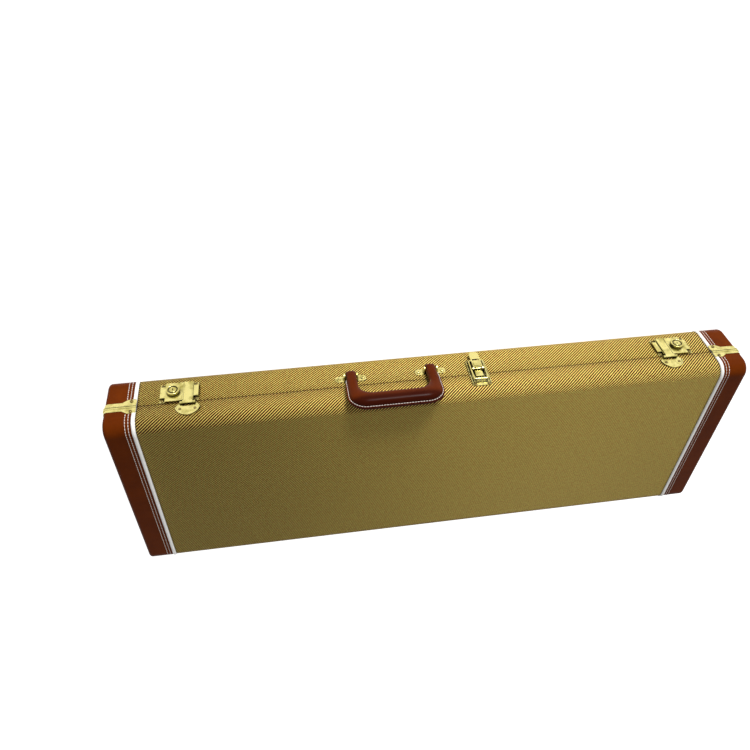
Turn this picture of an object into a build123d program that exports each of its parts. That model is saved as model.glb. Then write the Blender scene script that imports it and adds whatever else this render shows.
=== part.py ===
from build123d import *
import os

# A rectangular tweed-covered instrument case, in millimetres, lying on its back with the lid up.
# X runs along the length, the handle side is at -Y, the hinge side at +Y, and Z is 0 at the
# back panel's tweed face. The pieces named left are at +X.

# Case body
case_length = 1010.0
case_width = 350.0
case_depth = 106.0
edge_radius = 20.0
end_edge_radius = 6.0
seam_height = 65.0
seam_gap = 0.4
shell_wall = 5.0
tweed_thickness = 1.2
leather_thickness = 1.6

# Leather end covers, white piping and brass end trim
end_cover_reach = 41.0
piping_width = 6.3
piping_proud = 2.0
piping_flat = 0.5
trim_half_width = 8.5
trim_sheet = 0.9
trim_bead_radius = 1.7
trim_piping_lap = 6.0
trim_ear_length = 20.5
trim_ear_taper = 8.0
trim_ear_half_width = 14.0
trim_ear_corner = 3.0
trim_screw_from_start = 7.5
trim_screw_from_edge = 3.6

# Pan-head screws, the same ones in both halves
screw_head_radius = 2.4
screw_head_height = 1.5
screw_shank_radius = 1.1
screw_length = 6.0
screw_head_rounding = 0.9
screw_recess_length = 3.0
screw_recess_width = 0.6
screw_recess_depth = 0.7

# Rim lip and linings
lip_thickness = 4.0
lip_rise = 6.0
lip_depth = 20.0
lip_clearance = 0.5
lip_crest_rounding = 1.2
lining_thickness = 3.0
lid_lining_thickness = 2.0
lid_lining_clearance = 1.8
lid_pad_thickness = 10.0
lid_pad_margin = 22.0
lid_pad_corner = 30.0
lid_pad_crown = 5.0

# Body well, neck trough and accessory box
surround_height = 48.0
surround_length = 455.0
well_length = 410.0
well_side_wall = 14.3
well_corner = 60.0
well_end_wall = 15.0
neck_width = 90.0
block_length = 265.0
block_gap = 5.0
block_crown = 3.0
padding_corner = 0.6
padding_gap = 0.5
box_wall = 5.0
box_outer_wall = 9.5
box_height = 46.0
cradle_thickness = 30.0
cradle_height = 50.0
cradle_notch_width = 70.0
cradle_notch_depth = 28.0
cradle_notch_corner = 12.0

# Hinges
hinge_from_end = 175.0
hinge_width = 50.0
hinge_leaf_height = 14.0
hinge_leaf_thickness = 1.2
hinge_leaf_corner = 2.4
hinge_knuckle_radius = 2.2
hinge_knuckle_count = 5
hinge_knuckle_gap = 0.3
hinge_pin_radius = 1.0
hinge_pin_clearance = 0.05
hinge_notch_clearance = 0.8
hinge_screw_spacing = 17.0
hinge_screw_from_seam = 9.0

# Feet on the hinge side
foot_from_end = 75.0
inner_foot_from_end = 340.0
foot_radius = 6.0
foot_tip_radius = 4.6
foot_height = 6.0
foot_rounding = 1.0
foot_peg_radius = 1.5
foot_peg_length = 4.5
base_foot_height = 26.0
lid_foot_above_seam = 11.0

# Locks
lock_from_end = 109.0
lock_plate_width = 57.0
lock_plate_depth = 38.0
lock_plate_height = 4.0
lock_plate_below_seam = 1.0
lock_sheet = 0.8
lock_flange = 1.0
lock_corner = 7.5
lock_flange_corner = 1.6
lock_press_radius = 0.7
lock_screw_inset = 3.6
knob_offset = 9.0
knob_radius = 10.0
knob_height = 4.8
knob_gap = 0.2
knob_travel = 5.0
knob_rim_width = 2.4
knob_dish_depth = 1.6
knob_boss_radius = 5.6
knob_rounding = 0.6
stem_radius = 3.5
slot_clearance = 0.2
bolt_length = 14.0
bolt_width = 12.0
bolt_thickness = 2.3
bolt_lift = 0.6
bolt_tongue_width = 3.0
bolt_tongue_thickness = 1.4
bolt_tip_gap = 0.4
plug_radius = 4.3
plug_clearance = 0.08
plug_proud = 0.3
plug_floor = 0.6
plug_floor_gap = 0.1
plug_rounding = 0.3
key_slot_length = 5.0
key_slot_width = 1.1
key_slot_depth = 2.0
spring_wire_radius = 0.22
spring_coil_radius = 0.95
spring_turns = 7
spring_end_gap = 0.5

# Hasps
hasp_offset = 13.0
hasp_width = 14.8
hasp_length = 42.0
hasp_thickness = 1.1
hasp_gap = 0.3
hasp_edge_width = 1.2
hasp_edge_height = 0.5
hasp_edge_from_axis = 4.0
hasp_axis_above_seam = 4.0
hasp_barrel_radius = 2.0
hasp_pin_radius = 0.9
hasp_pin_clearance = 0.05
hasp_corner = 2.0
staple_width = 2.4
staple_length = 6.0
staple_floor_gap = 0.8
staple_eye_length = 3.6
staple_eye_height = 1.8
staple_slot_clearance = 0.5
hasp_mount_width = 36.5
hasp_mount_top_above_seam = 27.6
hasp_mount_shoulder = 9.0
hasp_mount_sheet = 1.2
hasp_mount_rim = 1.4
hasp_mount_rim_height = 0.8
hasp_knuckle_width = 3.8
hasp_knuckle_gap = 0.25
hasp_rivet_radius = 2.0
hasp_rivet_height = 1.0
hasp_rivet_rounding = 0.7
hasp_rivet_spacing = 22.0
hasp_rivet_length = 5.0

# Draw latch
draw_x = -65.0
draw_plate_width = 30.0
draw_plate_length = 30.0
draw_plate_from_seam = 1.0
draw_sheet = 1.0
draw_rail_width = 1.2
draw_rail_height = 2.2
draw_corner = 4.0
draw_axis_below_seam = 7.5
draw_axis_height = 5.5
draw_pin_radius = 1.2
draw_pin_clearance = 0.05
draw_pivot_boss = 2.7
draw_ear_thickness = 1.2
draw_side_gap = 0.3
draw_bridge_width = 11.6
draw_bridge_reach = 12.5
draw_bridge_start = 2.6
draw_bridge_top = 3.6
draw_screw_inset = 3.2
lever_width = 15.0
lever_length = 35.5
lever_thickness = 1.2
lever_tip_corner = 6.4
lever_underside = 7.0
lever_skirt = 1.2
lever_skirt_drop = 3.8
lever_skirt_past_bail = 3.5
lever_end_gap = 1.0
lever_slot_width = 3.0
lever_slot_length = 11.0
lever_panel_size = 10.0
lever_panel_height = 0.4
lever_panel_from_end = 2.4
bail_arm = 17.5
bail_wire_radius = 1.1
bail_half_width = 11.0
bail_bend_radius = 2.2
bail_end_above_seam = 15.0
bail_tail = 0.4
bail_clearance = 0.05
hook_length = 24.6
hook_nose_width = 17.0
hook_nose_radius = 4.0
hook_nose_rounding = 1.2
hook_nose_behind_bail = 2.5

# Handle
handle_x = 73.0
handle_leg_spacing = 126.0
handle_axis_drop = 15.0
handle_axis_height = 8.0
handle_lean = 3.6
leg_width = 17.0
leg_thickness = 15.0
leg_rounding = 6.0
grip_reach = 75.0
grip_depth = 26.0
grip_thickness = 22.0
grip_rounding = 10.5
grip_outer_corner = 26.0
grip_inner_corner = 14.0
grip_pad_inset = 12.0
flange_reach = 4.0
flange_side_reach = 2.5
flange_thickness = 3.0
flange_start = 12.0
core_width = 8.0
core_thickness = 4.0
core_eye_radius = 5.0
core_outer_corner = 16.0
core_inner_corner = 8.0
handle_pin_radius = 2.0
handle_pin_clearance = 0.05
handle_pin_relief = 0.4
bracket_side_gap = 0.4
bracket_ear_thickness = 2.0
bracket_length = 15.0
bracket_half_width = 6.0
bracket_corner = 4.2
bracket_sheet = 1.4
bracket_ear_radius = 4.5
bracket_screw_from_ear = 8.0
bracket_screw_radius = 3.0

# Places that follow from the sizes above
half_length = case_length / 2
half_width = case_width / 2
shell_level = -tweed_thickness
leather_level = leather_thickness - tweed_thickness
cavity_level = shell_level - shell_wall
shell_half_length = half_length - leather_thickness
cavity_half_length = shell_half_length - shell_wall
cavity_half_width = half_width + cavity_level
cavity_floor = -cavity_level
cavity_ceiling = case_depth + cavity_level
piping_outer = half_length - end_cover_reach
piping_inner = piping_outer - piping_width
trim_start = piping_outer - trim_piping_lap
lock_reach = half_length - lock_from_end
hinge_reach = half_length - hinge_from_end
foot_reaches = (half_length - inner_foot_from_end, half_length - foot_from_end)
base_top = seam_height - seam_gap / 2
lid_bottom = seam_height + seam_gap / 2
lining_floor = cavity_floor + lining_thickness
lip_top = seam_height + lip_rise
lip_bottom = seam_height - lip_depth
far = case_length
overcut = 1.0
same_place = 0.01

HANDLE_SIDE = Plane(origin=(0, -half_width, 0), x_dir=(1, 0, 0), z_dir=(0, -1, 0))
HINGE_SIDE = Plane(origin=(0, half_width, 0), x_dir=(-1, 0, 0), z_dir=(0, 1, 0))
SITTING = (Align.CENTER, Align.CENTER, Align.MIN)


def block(x, y, z):
    """A box from its low and high limits along each axis."""
    middle = Pos((x[0] + x[1]) / 2, (y[0] + y[1]) / 2, (z[0] + z[1]) / 2)
    return middle * Box(x[1] - x[0], y[1] - y[0], z[1] - z[0])


def rod(radius, x_range, y, z):
    """A cylinder along X."""
    place = Pos((x_range[0] + x_range[1]) / 2, y, z) * Rot(0, 90, 0)
    return place * Cylinder(radius, x_range[1] - x_range[0])


def below_seam(shape):
    return shape & block((-far, far), (-far, far), (-far, base_top))


def above_seam(shape):
    return shape & block((-far, far), (-far, far), (lid_bottom, far))


def long_profile(level):
    """The case's section across its length, grown by level beyond the tweed's face."""
    profile = RectangleRounded(case_width + 2 * level, case_depth + 2 * level, edge_radius + level)
    return Plane.YZ * Pos(0, case_depth / 2) * profile


def long_form(level, half, end_radius=0.0):
    """The case's rounded body out to half on each side, its end edges rounded."""
    form = extrude(long_profile(level), half, both=True)
    if end_radius > 0:
        ends = form.faces().sort_by(Axis.X)
        form = fillet(ends[0].edges() + ends[-1].edges(), end_radius)
    return form


def other_side(shape):
    """The same piece at the right-hand end."""
    return mirror(shape, about=Plane.YZ)


def group(pieces):
    """Separate solids kept in one node."""
    return Compound([solid for piece in pieces for solid in piece.solids()])


# Fasteners

def pan_screw(head_radius=screw_head_radius):
    """A screw whose head sits on Z 0 and whose shank goes down from there."""
    head = Cylinder(head_radius, screw_head_height, align=SITTING)
    head = fillet(head.edges().group_by(Axis.Z)[-1], screw_head_rounding)
    recess = Box(screw_recess_length, screw_recess_width, screw_recess_depth, align=SITTING)
    recess += Box(screw_recess_width, screw_recess_length, screw_recess_depth, align=SITTING)
    head -= Pos(0, 0, screw_head_height - screw_recess_depth) * recess
    return head + screw_hole()


def screw_hole():
    """What a screw's shank takes out of the pieces below its head."""
    return Pos(0, 0, -screw_length) * Cylinder(screw_shank_radius, screw_length, align=SITTING)


def drilled(shape, places):
    return shape - [place * screw_hole() for place in places]


def on_both_ends(places):
    """Handle-side or hinge-side places, repeated at the other end of the case."""
    return [plane * Pos(x, z, h) for plane, x, z, h in places for x in (x, -x)]


def trim_screw_places(direction):
    """Two screws on each ear of one half's end trims; direction is -1 below the seam."""
    x = trim_start + trim_screw_from_start
    z = seam_height + direction * (trim_ear_half_width - trim_screw_from_edge)
    seat = leather_level + trim_sheet
    return on_both_ends([(HANDLE_SIDE, x, z, seat), (HINGE_SIDE, x, z, seat)])


def lock_screw_places():
    across = lock_plate_width / 2 - lock_screw_inset
    up = lock_plate_depth / 2 - lock_screw_inset
    corners = [(dx, dz) for dx in (-across, across) for dz in (-up, up)]
    return on_both_ends(
        [(HANDLE_SIDE, lock_reach + dx, lock_middle + dz, lock_flange) for dx, dz in corners]
    )


def draw_screw_places(z):
    across = draw_plate_width / 2 - draw_rail_width - draw_screw_inset
    return [HANDLE_SIDE * Pos(draw_x + dx, z, draw_sheet) for dx in (-across, across)]


def hinge_screw_places(direction):
    z = seam_height + direction * hinge_screw_from_seam
    return [
        HINGE_SIDE * Pos(x + dx, z, hinge_leaf_thickness)
        for x in (-hinge_reach, 0, hinge_reach)
        for dx in (-hinge_screw_spacing, hinge_screw_spacing)
    ]


lock_middle = seam_height - lock_plate_below_seam - lock_plate_depth / 2
draw_plate_top = seam_height - draw_plate_from_seam
draw_plate_bottom = draw_plate_top - draw_plate_length
hook_bottom = seam_height + draw_plate_from_seam
hook_top = hook_bottom + hook_length

base_screw_places = (
    trim_screw_places(-1)
    + lock_screw_places()
    + draw_screw_places(draw_plate_bottom + draw_screw_inset)
    + hinge_screw_places(-1)
)
lid_screw_places = (
    trim_screw_places(1) + draw_screw_places(hook_top - draw_screw_inset) + hinge_screw_places(1)
)


# Feet

def foot_places(z):
    return on_both_ends([(HINGE_SIDE, x, z, 0) for x in foot_reaches])


def foot():
    dome = Cone(foot_radius, foot_tip_radius, foot_height, align=SITTING)
    dome = fillet(dome.edges().group_by(Axis.Z)[-1], foot_rounding)
    return dome + foot_peg()


def foot_peg():
    return Pos(0, 0, -foot_peg_length) * Cylinder(foot_peg_radius, foot_peg_length, align=SITTING)


base_foot_places = foot_places(base_foot_height)
lid_foot_places = foot_places(seam_height + lid_foot_above_seam)


# Handle pins, brackets, grip and core

handle_axis_z = seam_height - handle_axis_drop
leg_centres = (handle_x - handle_leg_spacing / 2, handle_x + handle_leg_spacing / 2)
bracket_inner = leg_width / 2 + bracket_side_gap
bracket_outer = bracket_inner + bracket_ear_thickness
HANDLE = Plane(
    origin=(handle_x, -half_width - handle_axis_height, handle_axis_z), x_dir=(1, 0, 0), z_dir=(0, -1, 0)
) * Rot(handle_lean, 0, 0)


def handle_screw_places():
    reach = bracket_outer + bracket_screw_from_ear
    return [
        HANDLE_SIDE * Pos(x + dx, handle_axis_z, bracket_sheet)
        for x in leg_centres
        for dx in (-reach, reach)
    ]


def bracket(direction):
    """A foot with a screw hole and an upright ear for the pin; direction is the side of the leg."""
    foot_plate = block(
        (bracket_inner, bracket_inner + bracket_length),
        (-bracket_half_width, bracket_half_width),
        (0, bracket_sheet),
    )
    outer = foot_plate.faces().sort_by(Axis.X)[-1].edges().filter_by(Axis.Z)
    foot_plate = fillet(outer, bracket_corner)
    ear = block(
        (bracket_inner, bracket_outer), (-bracket_ear_radius, bracket_ear_radius), (0, handle_axis_height)
    )
    ear += rod(bracket_ear_radius, (bracket_inner, bracket_outer), 0, handle_axis_height)
    ear -= rod(handle_pin_radius, (0, far), 0, handle_axis_height)
    shape = foot_plate + ear
    hole = Cylinder(screw_shank_radius, far)
    shape -= Pos(bracket_outer + bracket_screw_from_ear, 0) * hole
    return shape if direction > 0 else mirror(shape, about=Plane.YZ)


def handle_brackets():
    place = HANDLE_SIDE * Pos(0, handle_axis_z)
    return group([place * Pos(x) * bracket(side) for x in leg_centres for side in (-1, 1)])


def handle_pins():
    place = HANDLE_SIDE * Pos(0, handle_axis_z, handle_axis_height)
    pin = rod(handle_pin_radius, (-bracket_outer, bracket_outer), 0, 0)
    return group([place * Pos(x) * pin for x in leg_centres])


def arch(half_outer, top, half_inner, inner_top, outer_corner, inner_corner, low=0.0):
    """A flat upside-down U, its legs standing on low, in the handle's own plane."""
    outer = Pos(0, (low + top) / 2) * Rectangle(2 * half_outer, top - low)
    outer = fillet(outer.vertices().group_by(Axis.Y)[-1], outer_corner)
    inner = Pos(0, (low + inner_top) / 2) * Rectangle(2 * half_inner, inner_top - low)
    inner = fillet(inner.vertices().group_by(Axis.Y)[-1], inner_corner)
    return outer - inner


def handle_core_shape():
    """A flat steel arch that ends in an eye round each pin."""
    leg = handle_leg_spacing / 2
    middle = grip_reach - grip_depth / 2
    flat = arch(
        leg + core_width / 2,
        middle + core_width / 2,
        leg - core_width / 2,
        middle - core_width / 2,
        core_outer_corner,
        core_inner_corner,
    )
    core = extrude(flat, core_thickness / 2, both=True)
    for side in (-leg, leg):
        core += rod(core_eye_radius, (side - core_width / 2, side + core_width / 2), 0, 0)
    bore = rod(handle_pin_radius + handle_pin_clearance, (-far, far), 0, 0)
    return core - bore


def handle_grip_shape():
    """The stitched leather cover, padded along the grip, with a sewn flange round its outside."""
    leg = handle_leg_spacing / 2
    outer = leg + leg_width / 2
    inner_top = grip_reach - grip_depth
    flat = arch(outer, grip_reach, leg - leg_width / 2, inner_top, grip_outer_corner, grip_inner_corner)
    body = extrude(flat, leg_thickness / 2, both=True)
    rims = body.edges().filter_by(lambda edge: abs(abs(edge.center().Z) - leg_thickness / 2) < same_place)
    body = fillet(rims.filter_by(lambda edge: edge.center().Y > same_place), leg_rounding)
    pad_half = leg - grip_pad_inset
    pad = block((-pad_half, pad_half), (inner_top, grip_reach), (-grip_thickness / 2, grip_thickness / 2))
    pad = fillet(pad.edges(), grip_rounding)
    flange_half = outer + flange_side_reach
    flange_flat = arch(
        flange_half,
        grip_reach + flange_reach,
        outer - leg_rounding,
        grip_reach - grip_rounding,
        grip_outer_corner + flange_side_reach,
        grip_outer_corner - leg_rounding,
        flange_start,
    )
    flange = extrude(flange_flat, flange_thickness / 2, both=True)
    shape = body + pad + flange
    for side in (-leg, leg):
        shape += rod(leg_thickness / 2, (side - leg_width / 2, side + leg_width / 2), 0, 0)
    shape -= handle_core_shape()
    return shape - rod(handle_pin_radius + handle_pin_relief, (-far, far), 0, 0)


# Case shells, covers, piping and trim

def piping_ring():
    """The white piping round the left end, crowned, laid on the shell."""
    ring = extrude(Pos(piping_inner) * long_profile(piping_proud), piping_width)
    sides = ring.faces().sort_by(Axis.X)
    ring = fillet(sides[0].edges() + sides[-1].edges(), (piping_width - piping_flat) / 2)
    ring -= shell_outer
    ear_band = (seam_height - trim_ear_half_width, seam_height + trim_ear_half_width)
    for side in (-1, 1):
        face = side * (half_width + leather_level)
        edge = sorted((face, side * far))
        ring -= block((piping_inner - overcut, piping_outer + overcut), edge, ear_band)
    return ring


def trim_ear(direction, near):
    """The screwed ear at the strip's start, drawn in to the strip's width at its far end."""
    ear_end = trim_start + trim_ear_length
    corners = (
        (trim_start, near),
        (trim_start, trim_ear_half_width),
        (ear_end - trim_ear_taper, trim_ear_half_width),
        (ear_end, trim_half_width),
        (ear_end, near),
    )
    flat = make_face(Polyline(*[(x, direction * y) for x, y in corners], close=True))
    outer = flat.vertices().group_by(Axis.Y)[0 if direction < 0 else -1]
    return extrude(fillet(outer, trim_ear_corner), trim_sheet, dir=(0, 0, 1))


def end_trim(direction):
    """One half's brass strip round the left end, with a bead at the seam and an ear on each side."""
    reach = half_width + leather_level
    path = FilletPolyline(
        (trim_start, -reach, seam_height),
        (half_length, -reach, seam_height),
        (half_length, reach, seam_height),
        (trim_start, reach, seam_height),
        radius=end_edge_radius,
    )
    near = seam_gap / 2
    strip_width = trim_half_width - near
    strip = Pos(trim_sheet / 2, near + strip_width / 2) * Rectangle(trim_sheet, strip_width)
    bead = Pos(trim_sheet / 2, near + trim_bead_radius) * Circle(trim_bead_radius)
    bead &= Rectangle(far, far, align=(Align.MIN, Align.CENTER))
    plane = Plane(origin=(trim_start, -reach, seam_height), x_dir=(0, -1, 0), z_dir=(1, 0, 0))
    section_side = strip + bead
    if direction > 0:
        section_side = mirror(section_side, about=Plane.XZ)
    shape = sweep(plane * section_side, path=path)
    ear = HANDLE_SIDE * Pos(0, seam_height, leather_level) * trim_ear(direction, near)
    return shape + ear + mirror(ear, about=Plane.XZ)


shell_outer = long_form(shell_level, shell_half_length, end_edge_radius - leather_thickness)
shell_walls = shell_outer - long_form(cavity_level, cavity_half_length)
tweed_skin = long_form(0, piping_inner) - shell_outer
leather_skin = long_form(leather_level, half_length, end_edge_radius) - shell_outer
left_leather = leather_skin & block((piping_outer, far), (-far, far), (-far, far))
left_piping = piping_ring()


def base_shell():
    shape = drilled(below_seam(shell_walls), base_screw_places + handle_screw_places())
    return shape - [place * foot_peg() for place in base_foot_places]


def lid_shell():
    shape = drilled(above_seam(shell_walls), lid_screw_places)
    shape -= [place * foot_peg() for place in lid_foot_places]
    return shape - hasp_rivet_holes()


def base_tweed():
    shape = drilled(below_seam(tweed_skin), base_screw_places + handle_screw_places())
    return shape - [place * foot_peg() for place in base_foot_places]


def lid_tweed():
    shape = drilled(above_seam(tweed_skin), lid_screw_places)
    shape -= [place * foot_peg() for place in lid_foot_places]
    return shape - hasp_rivet_holes()


def trimmed_ends(name, half, screws):
    """Leather cover, piping and trim of one half at both ends."""
    cover = drilled(half(left_leather), screws)
    piping = drilled(half(left_piping), screws)
    trim = drilled(end_trim(-1 if name == "base" else 1), screws)
    pieces = {"end_cover": cover, "piping": piping, "end_trim": trim}
    ends = {f"{name}_left_{kind}": shape for kind, shape in pieces.items()}
    ends.update({f"{name}_right_{kind}": other_side(shape) for kind, shape in pieces.items()})
    return ends


# Linings and interior

def ring_block(half_x, half_y, thickness, z):
    """A rectangular ring of the given wall, standing over the z range."""
    outer = block((-half_x, half_x), (-half_y, half_y), z)
    inner_x = half_x - thickness
    inner_y = half_y - thickness
    return outer - block((-inner_x, inner_x), (-inner_y, inner_y), (-far, far))


def base_lining():
    """A tray that lines the floor and the walls up to the lip."""
    level = cavity_level
    outer = long_form(level, cavity_half_length)
    inner = long_form(level - lining_thickness, cavity_half_length - lining_thickness)
    return (outer - inner) & block((-far, far), (-far, far), (-far, lip_bottom))


def rim_lip():
    """The lip fastened inside the base walls; its upper part stands clear inside the lid."""
    foot_ring = ring_block(cavity_half_length, cavity_half_width, lip_thickness, (lip_bottom, base_top))
    top_x = cavity_half_length - lip_clearance
    top_y = cavity_half_width - lip_clearance
    top_ring = ring_block(top_x, top_y, lip_thickness - lip_clearance, (lip_bottom, lip_top))
    crest = top_ring.faces().sort_by(Axis.Z)[-1].edges()
    return foot_ring + fillet(crest, lip_crest_rounding)


def lid_lining():
    """A tray that lines the lid's face and its walls down to just above the lip."""
    outer = long_form(cavity_level, cavity_half_length)
    inner = long_form(cavity_level - lid_lining_thickness, cavity_half_length - lid_lining_thickness)
    return (outer - inner) & block((-far, far), (-far, far), (lip_top + lid_lining_clearance, far))


def lid_pad():
    """A crowned panel under the lid's face."""
    top = cavity_ceiling - lid_lining_thickness
    width = 2 * (cavity_half_width - lid_pad_margin)
    length = 2 * (cavity_half_length - lid_pad_margin)
    flat = RectangleRounded(length, width, lid_pad_corner)
    pad = extrude(Pos(0, 0, top - lid_pad_thickness) * flat, lid_pad_thickness)
    return fillet(pad.faces().sort_by(Axis.Z)[0].edges(), lid_pad_crown)


inner_half_length = cavity_half_length - lip_thickness - padding_gap
inner_half_width = cavity_half_width - lip_thickness - padding_gap
padding_heel = edge_radius + cavity_level - lining_thickness
surround_start = inner_half_length - surround_length
block_end = surround_start - block_gap
block_start = block_end - block_length
cradle_end = block_start - block_gap


def padding(x, y, height, corner):
    """A block standing on the lining's floor, its heels rounded where they meet the walls."""
    shape = block(x, y, (lining_floor, lining_floor + height))
    shape = fillet(shape.edges().filter_by(Axis.Z), corner)
    floor_edges = shape.edges().filter_by(Axis.X).group_by(Axis.Z)[0]
    heels = floor_edges.filter_by(lambda edge: abs(edge.center().Y) > inner_half_width - overcut)
    return fillet(heels, padding_heel)


def body_surround():
    """The padded block round the body well, open towards the neck."""
    top = lining_floor + surround_height
    y = (-inner_half_width, inner_half_width)
    body = padding((surround_start, inner_half_length), y, surround_height, padding_corner)
    well_middle = inner_half_length - well_end_wall - well_length / 2
    well_width = 2 * (inner_half_width - well_side_wall)
    well = Pos(well_middle, 0, lining_floor) * RectangleRounded(well_length, well_width, well_corner)
    body -= extrude(well, surround_height)
    gate = block((surround_start, well_middle), (-neck_width / 2, neck_width / 2), (lining_floor, top))
    return body - gate


def neck_side_block():
    """The padded block on the hinge side of the neck."""
    y = (neck_width / 2, inner_half_width)
    shape = padding((block_start, block_end), y, box_height, padding_corner)
    return fillet(shape.faces().sort_by(Axis.Z)[-1].edges(), block_crown)


def accessory_box():
    """An open-topped box on the handle side of the neck."""
    y = (-inner_half_width, -neck_width / 2)
    shape = padding((block_start, block_end), y, box_height, padding_corner)
    inside = block(
        (block_start + box_wall, block_end - box_wall),
        (y[0] + box_outer_wall, y[1] - box_wall),
        (lining_floor + box_wall, far),
    )
    return shape - inside


def neck_cradle():
    """A cross block with a rounded notch that carries the neck."""
    top = lining_floor + cradle_height
    x = (cradle_end - cradle_thickness, cradle_end)
    shape = padding(x, (-inner_half_width, inner_half_width), cradle_height, padding_corner)
    notch = RectangleRounded(cradle_notch_width, 2 * cradle_notch_depth, cradle_notch_corner)
    shape -= Pos(x[0]) * extrude(Plane.YZ * Pos(0, top) * notch, cradle_thickness)
    return shape


# Hinges

def knuckles(parity):
    """The X ranges of one leaf's knuckles; the base leaf holds the even ones."""
    pitch = hinge_width / hinge_knuckle_count
    ranges = []
    for index in range(parity, hinge_knuckle_count, 2):
        start = -hinge_width / 2 + index * pitch
        ranges.append((start + hinge_knuckle_gap / 2, start + pitch - hinge_knuckle_gap / 2))
    return ranges


def hinge_leaf(direction):
    """One leaf with its knuckles, at X 0; direction is -1 for the base and 1 for the lid."""
    axis_y = half_width + hinge_leaf_thickness + hinge_knuckle_radius
    near = seam_height + direction * seam_gap / 2
    z = sorted((near, seam_height + direction * hinge_leaf_height))
    leaf = block((-hinge_width / 2, hinge_width / 2), (half_width, half_width + hinge_leaf_thickness), z)
    far_edges = leaf.edges().filter_by(Axis.Y).group_by(Axis.Z)[0 if direction < 0 else -1]
    leaf = fillet(far_edges, hinge_leaf_corner)
    parity = 0 if direction < 0 else 1
    notch_z = seam_height + direction * (hinge_knuckle_radius + hinge_notch_clearance)
    for x in knuckles(1 - parity):
        room = (x[0] - hinge_knuckle_gap, x[1] + hinge_knuckle_gap)
        leaf -= block(room, (half_width - overcut, axis_y), sorted((seam_height, notch_z)))
    bore = hinge_pin_radius + (0 if direction < 0 else hinge_pin_clearance)
    web_z = sorted((seam_height, seam_height + direction * hinge_knuckle_radius))
    for x in knuckles(parity):
        leaf += rod(hinge_knuckle_radius, x, axis_y, seam_height)
        leaf += block(x, (half_width, axis_y), web_z) - block(x, (0, axis_y), sorted((seam_height, near)))
    return leaf - rod(bore, (-far, far), axis_y, seam_height)


def at_hinges(shape):
    return group([Pos(x) * shape for x in (-hinge_reach, 0, hinge_reach)])


def hinge_leaves(direction, screws):
    return group(drilled(at_hinges(hinge_leaf(direction)), screws))


def hinge_pins():
    axis_y = half_width + hinge_leaf_thickness + hinge_knuckle_radius
    return at_hinges(rod(hinge_pin_radius, (-hinge_width / 2, hinge_width / 2), axis_y, seam_height))


# Locks, drawn at the left end in the handle side's own plane: x along the case, y up, z outwards

LOCK = HANDLE_SIDE * Pos(lock_reach, lock_middle)
slot_bottom = -staple_length / 2 - staple_slot_clearance
tray_wall_x = lock_plate_width / 2 - lock_sheet
tongue_tip = staple_width / 2 + bolt_tip_gap - hasp_offset
bolt_end = knob_offset + bolt_length / 2


def lock_plate():
    """A pressed tray with recessed corners, slotted for the knob's stem and the hasp's staple."""
    tall = Rectangle(lock_plate_width - 2 * lock_corner, lock_plate_depth)
    wide = Rectangle(lock_plate_width, lock_plate_depth - 2 * lock_corner)
    outline = tall + wide
    tray = extrude(outline, lock_plate_height)
    tray = fillet(tray.faces().sort_by(Axis.Z)[-1].edges(), lock_press_radius)
    flange = extrude(RectangleRounded(lock_plate_width, lock_plate_depth, lock_flange_corner), lock_flange)
    room = extrude(offset(outline, -lock_sheet, kind=Kind.INTERSECTION), lock_plate_height - lock_sheet)
    shape = tray + flange - room
    staple_slot = staple_width / 2 + bolt_tip_gap + staple_slot_clearance
    shape -= block(
        (-hasp_offset - staple_slot, -hasp_offset + staple_slot),
        (slot_bottom, lock_plate_depth),
        (-overcut, lock_plate_height + overcut),
    )
    stem_slot = SlotCenterToCenter(knob_travel, 2 * (stem_radius + slot_clearance))
    shape -= Pos(knob_offset + knob_travel / 2) * extrude(stem_slot, lock_plate_height + overcut)
    return shape


def lock_button():
    """The sliding round knob, its stem and the bolt under the plate."""
    bolt_top = bolt_lift + bolt_thickness
    bolt = block(
        (knob_offset - bolt_length / 2, bolt_end), (-bolt_width / 2, bolt_width / 2), (bolt_lift, bolt_top)
    )
    tongue_low = bolt_lift + (bolt_thickness - bolt_tongue_thickness) / 2
    bolt += block(
        (tongue_tip, knob_offset),
        (-bolt_tongue_width / 2, bolt_tongue_width / 2),
        (tongue_low, tongue_low + bolt_tongue_thickness),
    )
    knob_base = lock_plate_height + knob_gap
    stem = Pos(knob_offset, 0, bolt_top) * Cylinder(stem_radius, knob_base - bolt_top, align=SITTING)
    knob = Cylinder(knob_radius, knob_height, align=SITTING)
    dish_radius = knob_radius - knob_rim_width
    dish = Cylinder(dish_radius, knob_dish_depth, align=SITTING)
    dish -= Cylinder(knob_boss_radius, knob_dish_depth, align=SITTING)
    knob -= Pos(0, 0, knob_height - knob_dish_depth) * dish
    knob = fillet(knob.edges().group_by(Axis.Z)[-1], knob_rounding)
    knob -= Pos(0, 0, plug_floor) * Cylinder(plug_radius + plug_clearance, far, align=SITTING)
    return bolt + stem + Pos(knob_offset, 0, knob_base) * knob


def key_plug():
    """The turning key cylinder in the knob, with its key slot."""
    low = plug_floor + plug_floor_gap
    top = knob_height + plug_proud
    plug = Pos(0, 0, low) * Cylinder(plug_radius, top - low, align=SITTING)
    plug = fillet(plug.edges().group_by(Axis.Z)[-1], plug_rounding)
    slot = SlotOverall(key_slot_length, key_slot_width, rotation=90)
    plug -= Pos(0, 0, top - key_slot_depth) * extrude(slot, key_slot_depth)
    return Pos(knob_offset, 0, lock_plate_height + knob_gap) * plug


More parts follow.
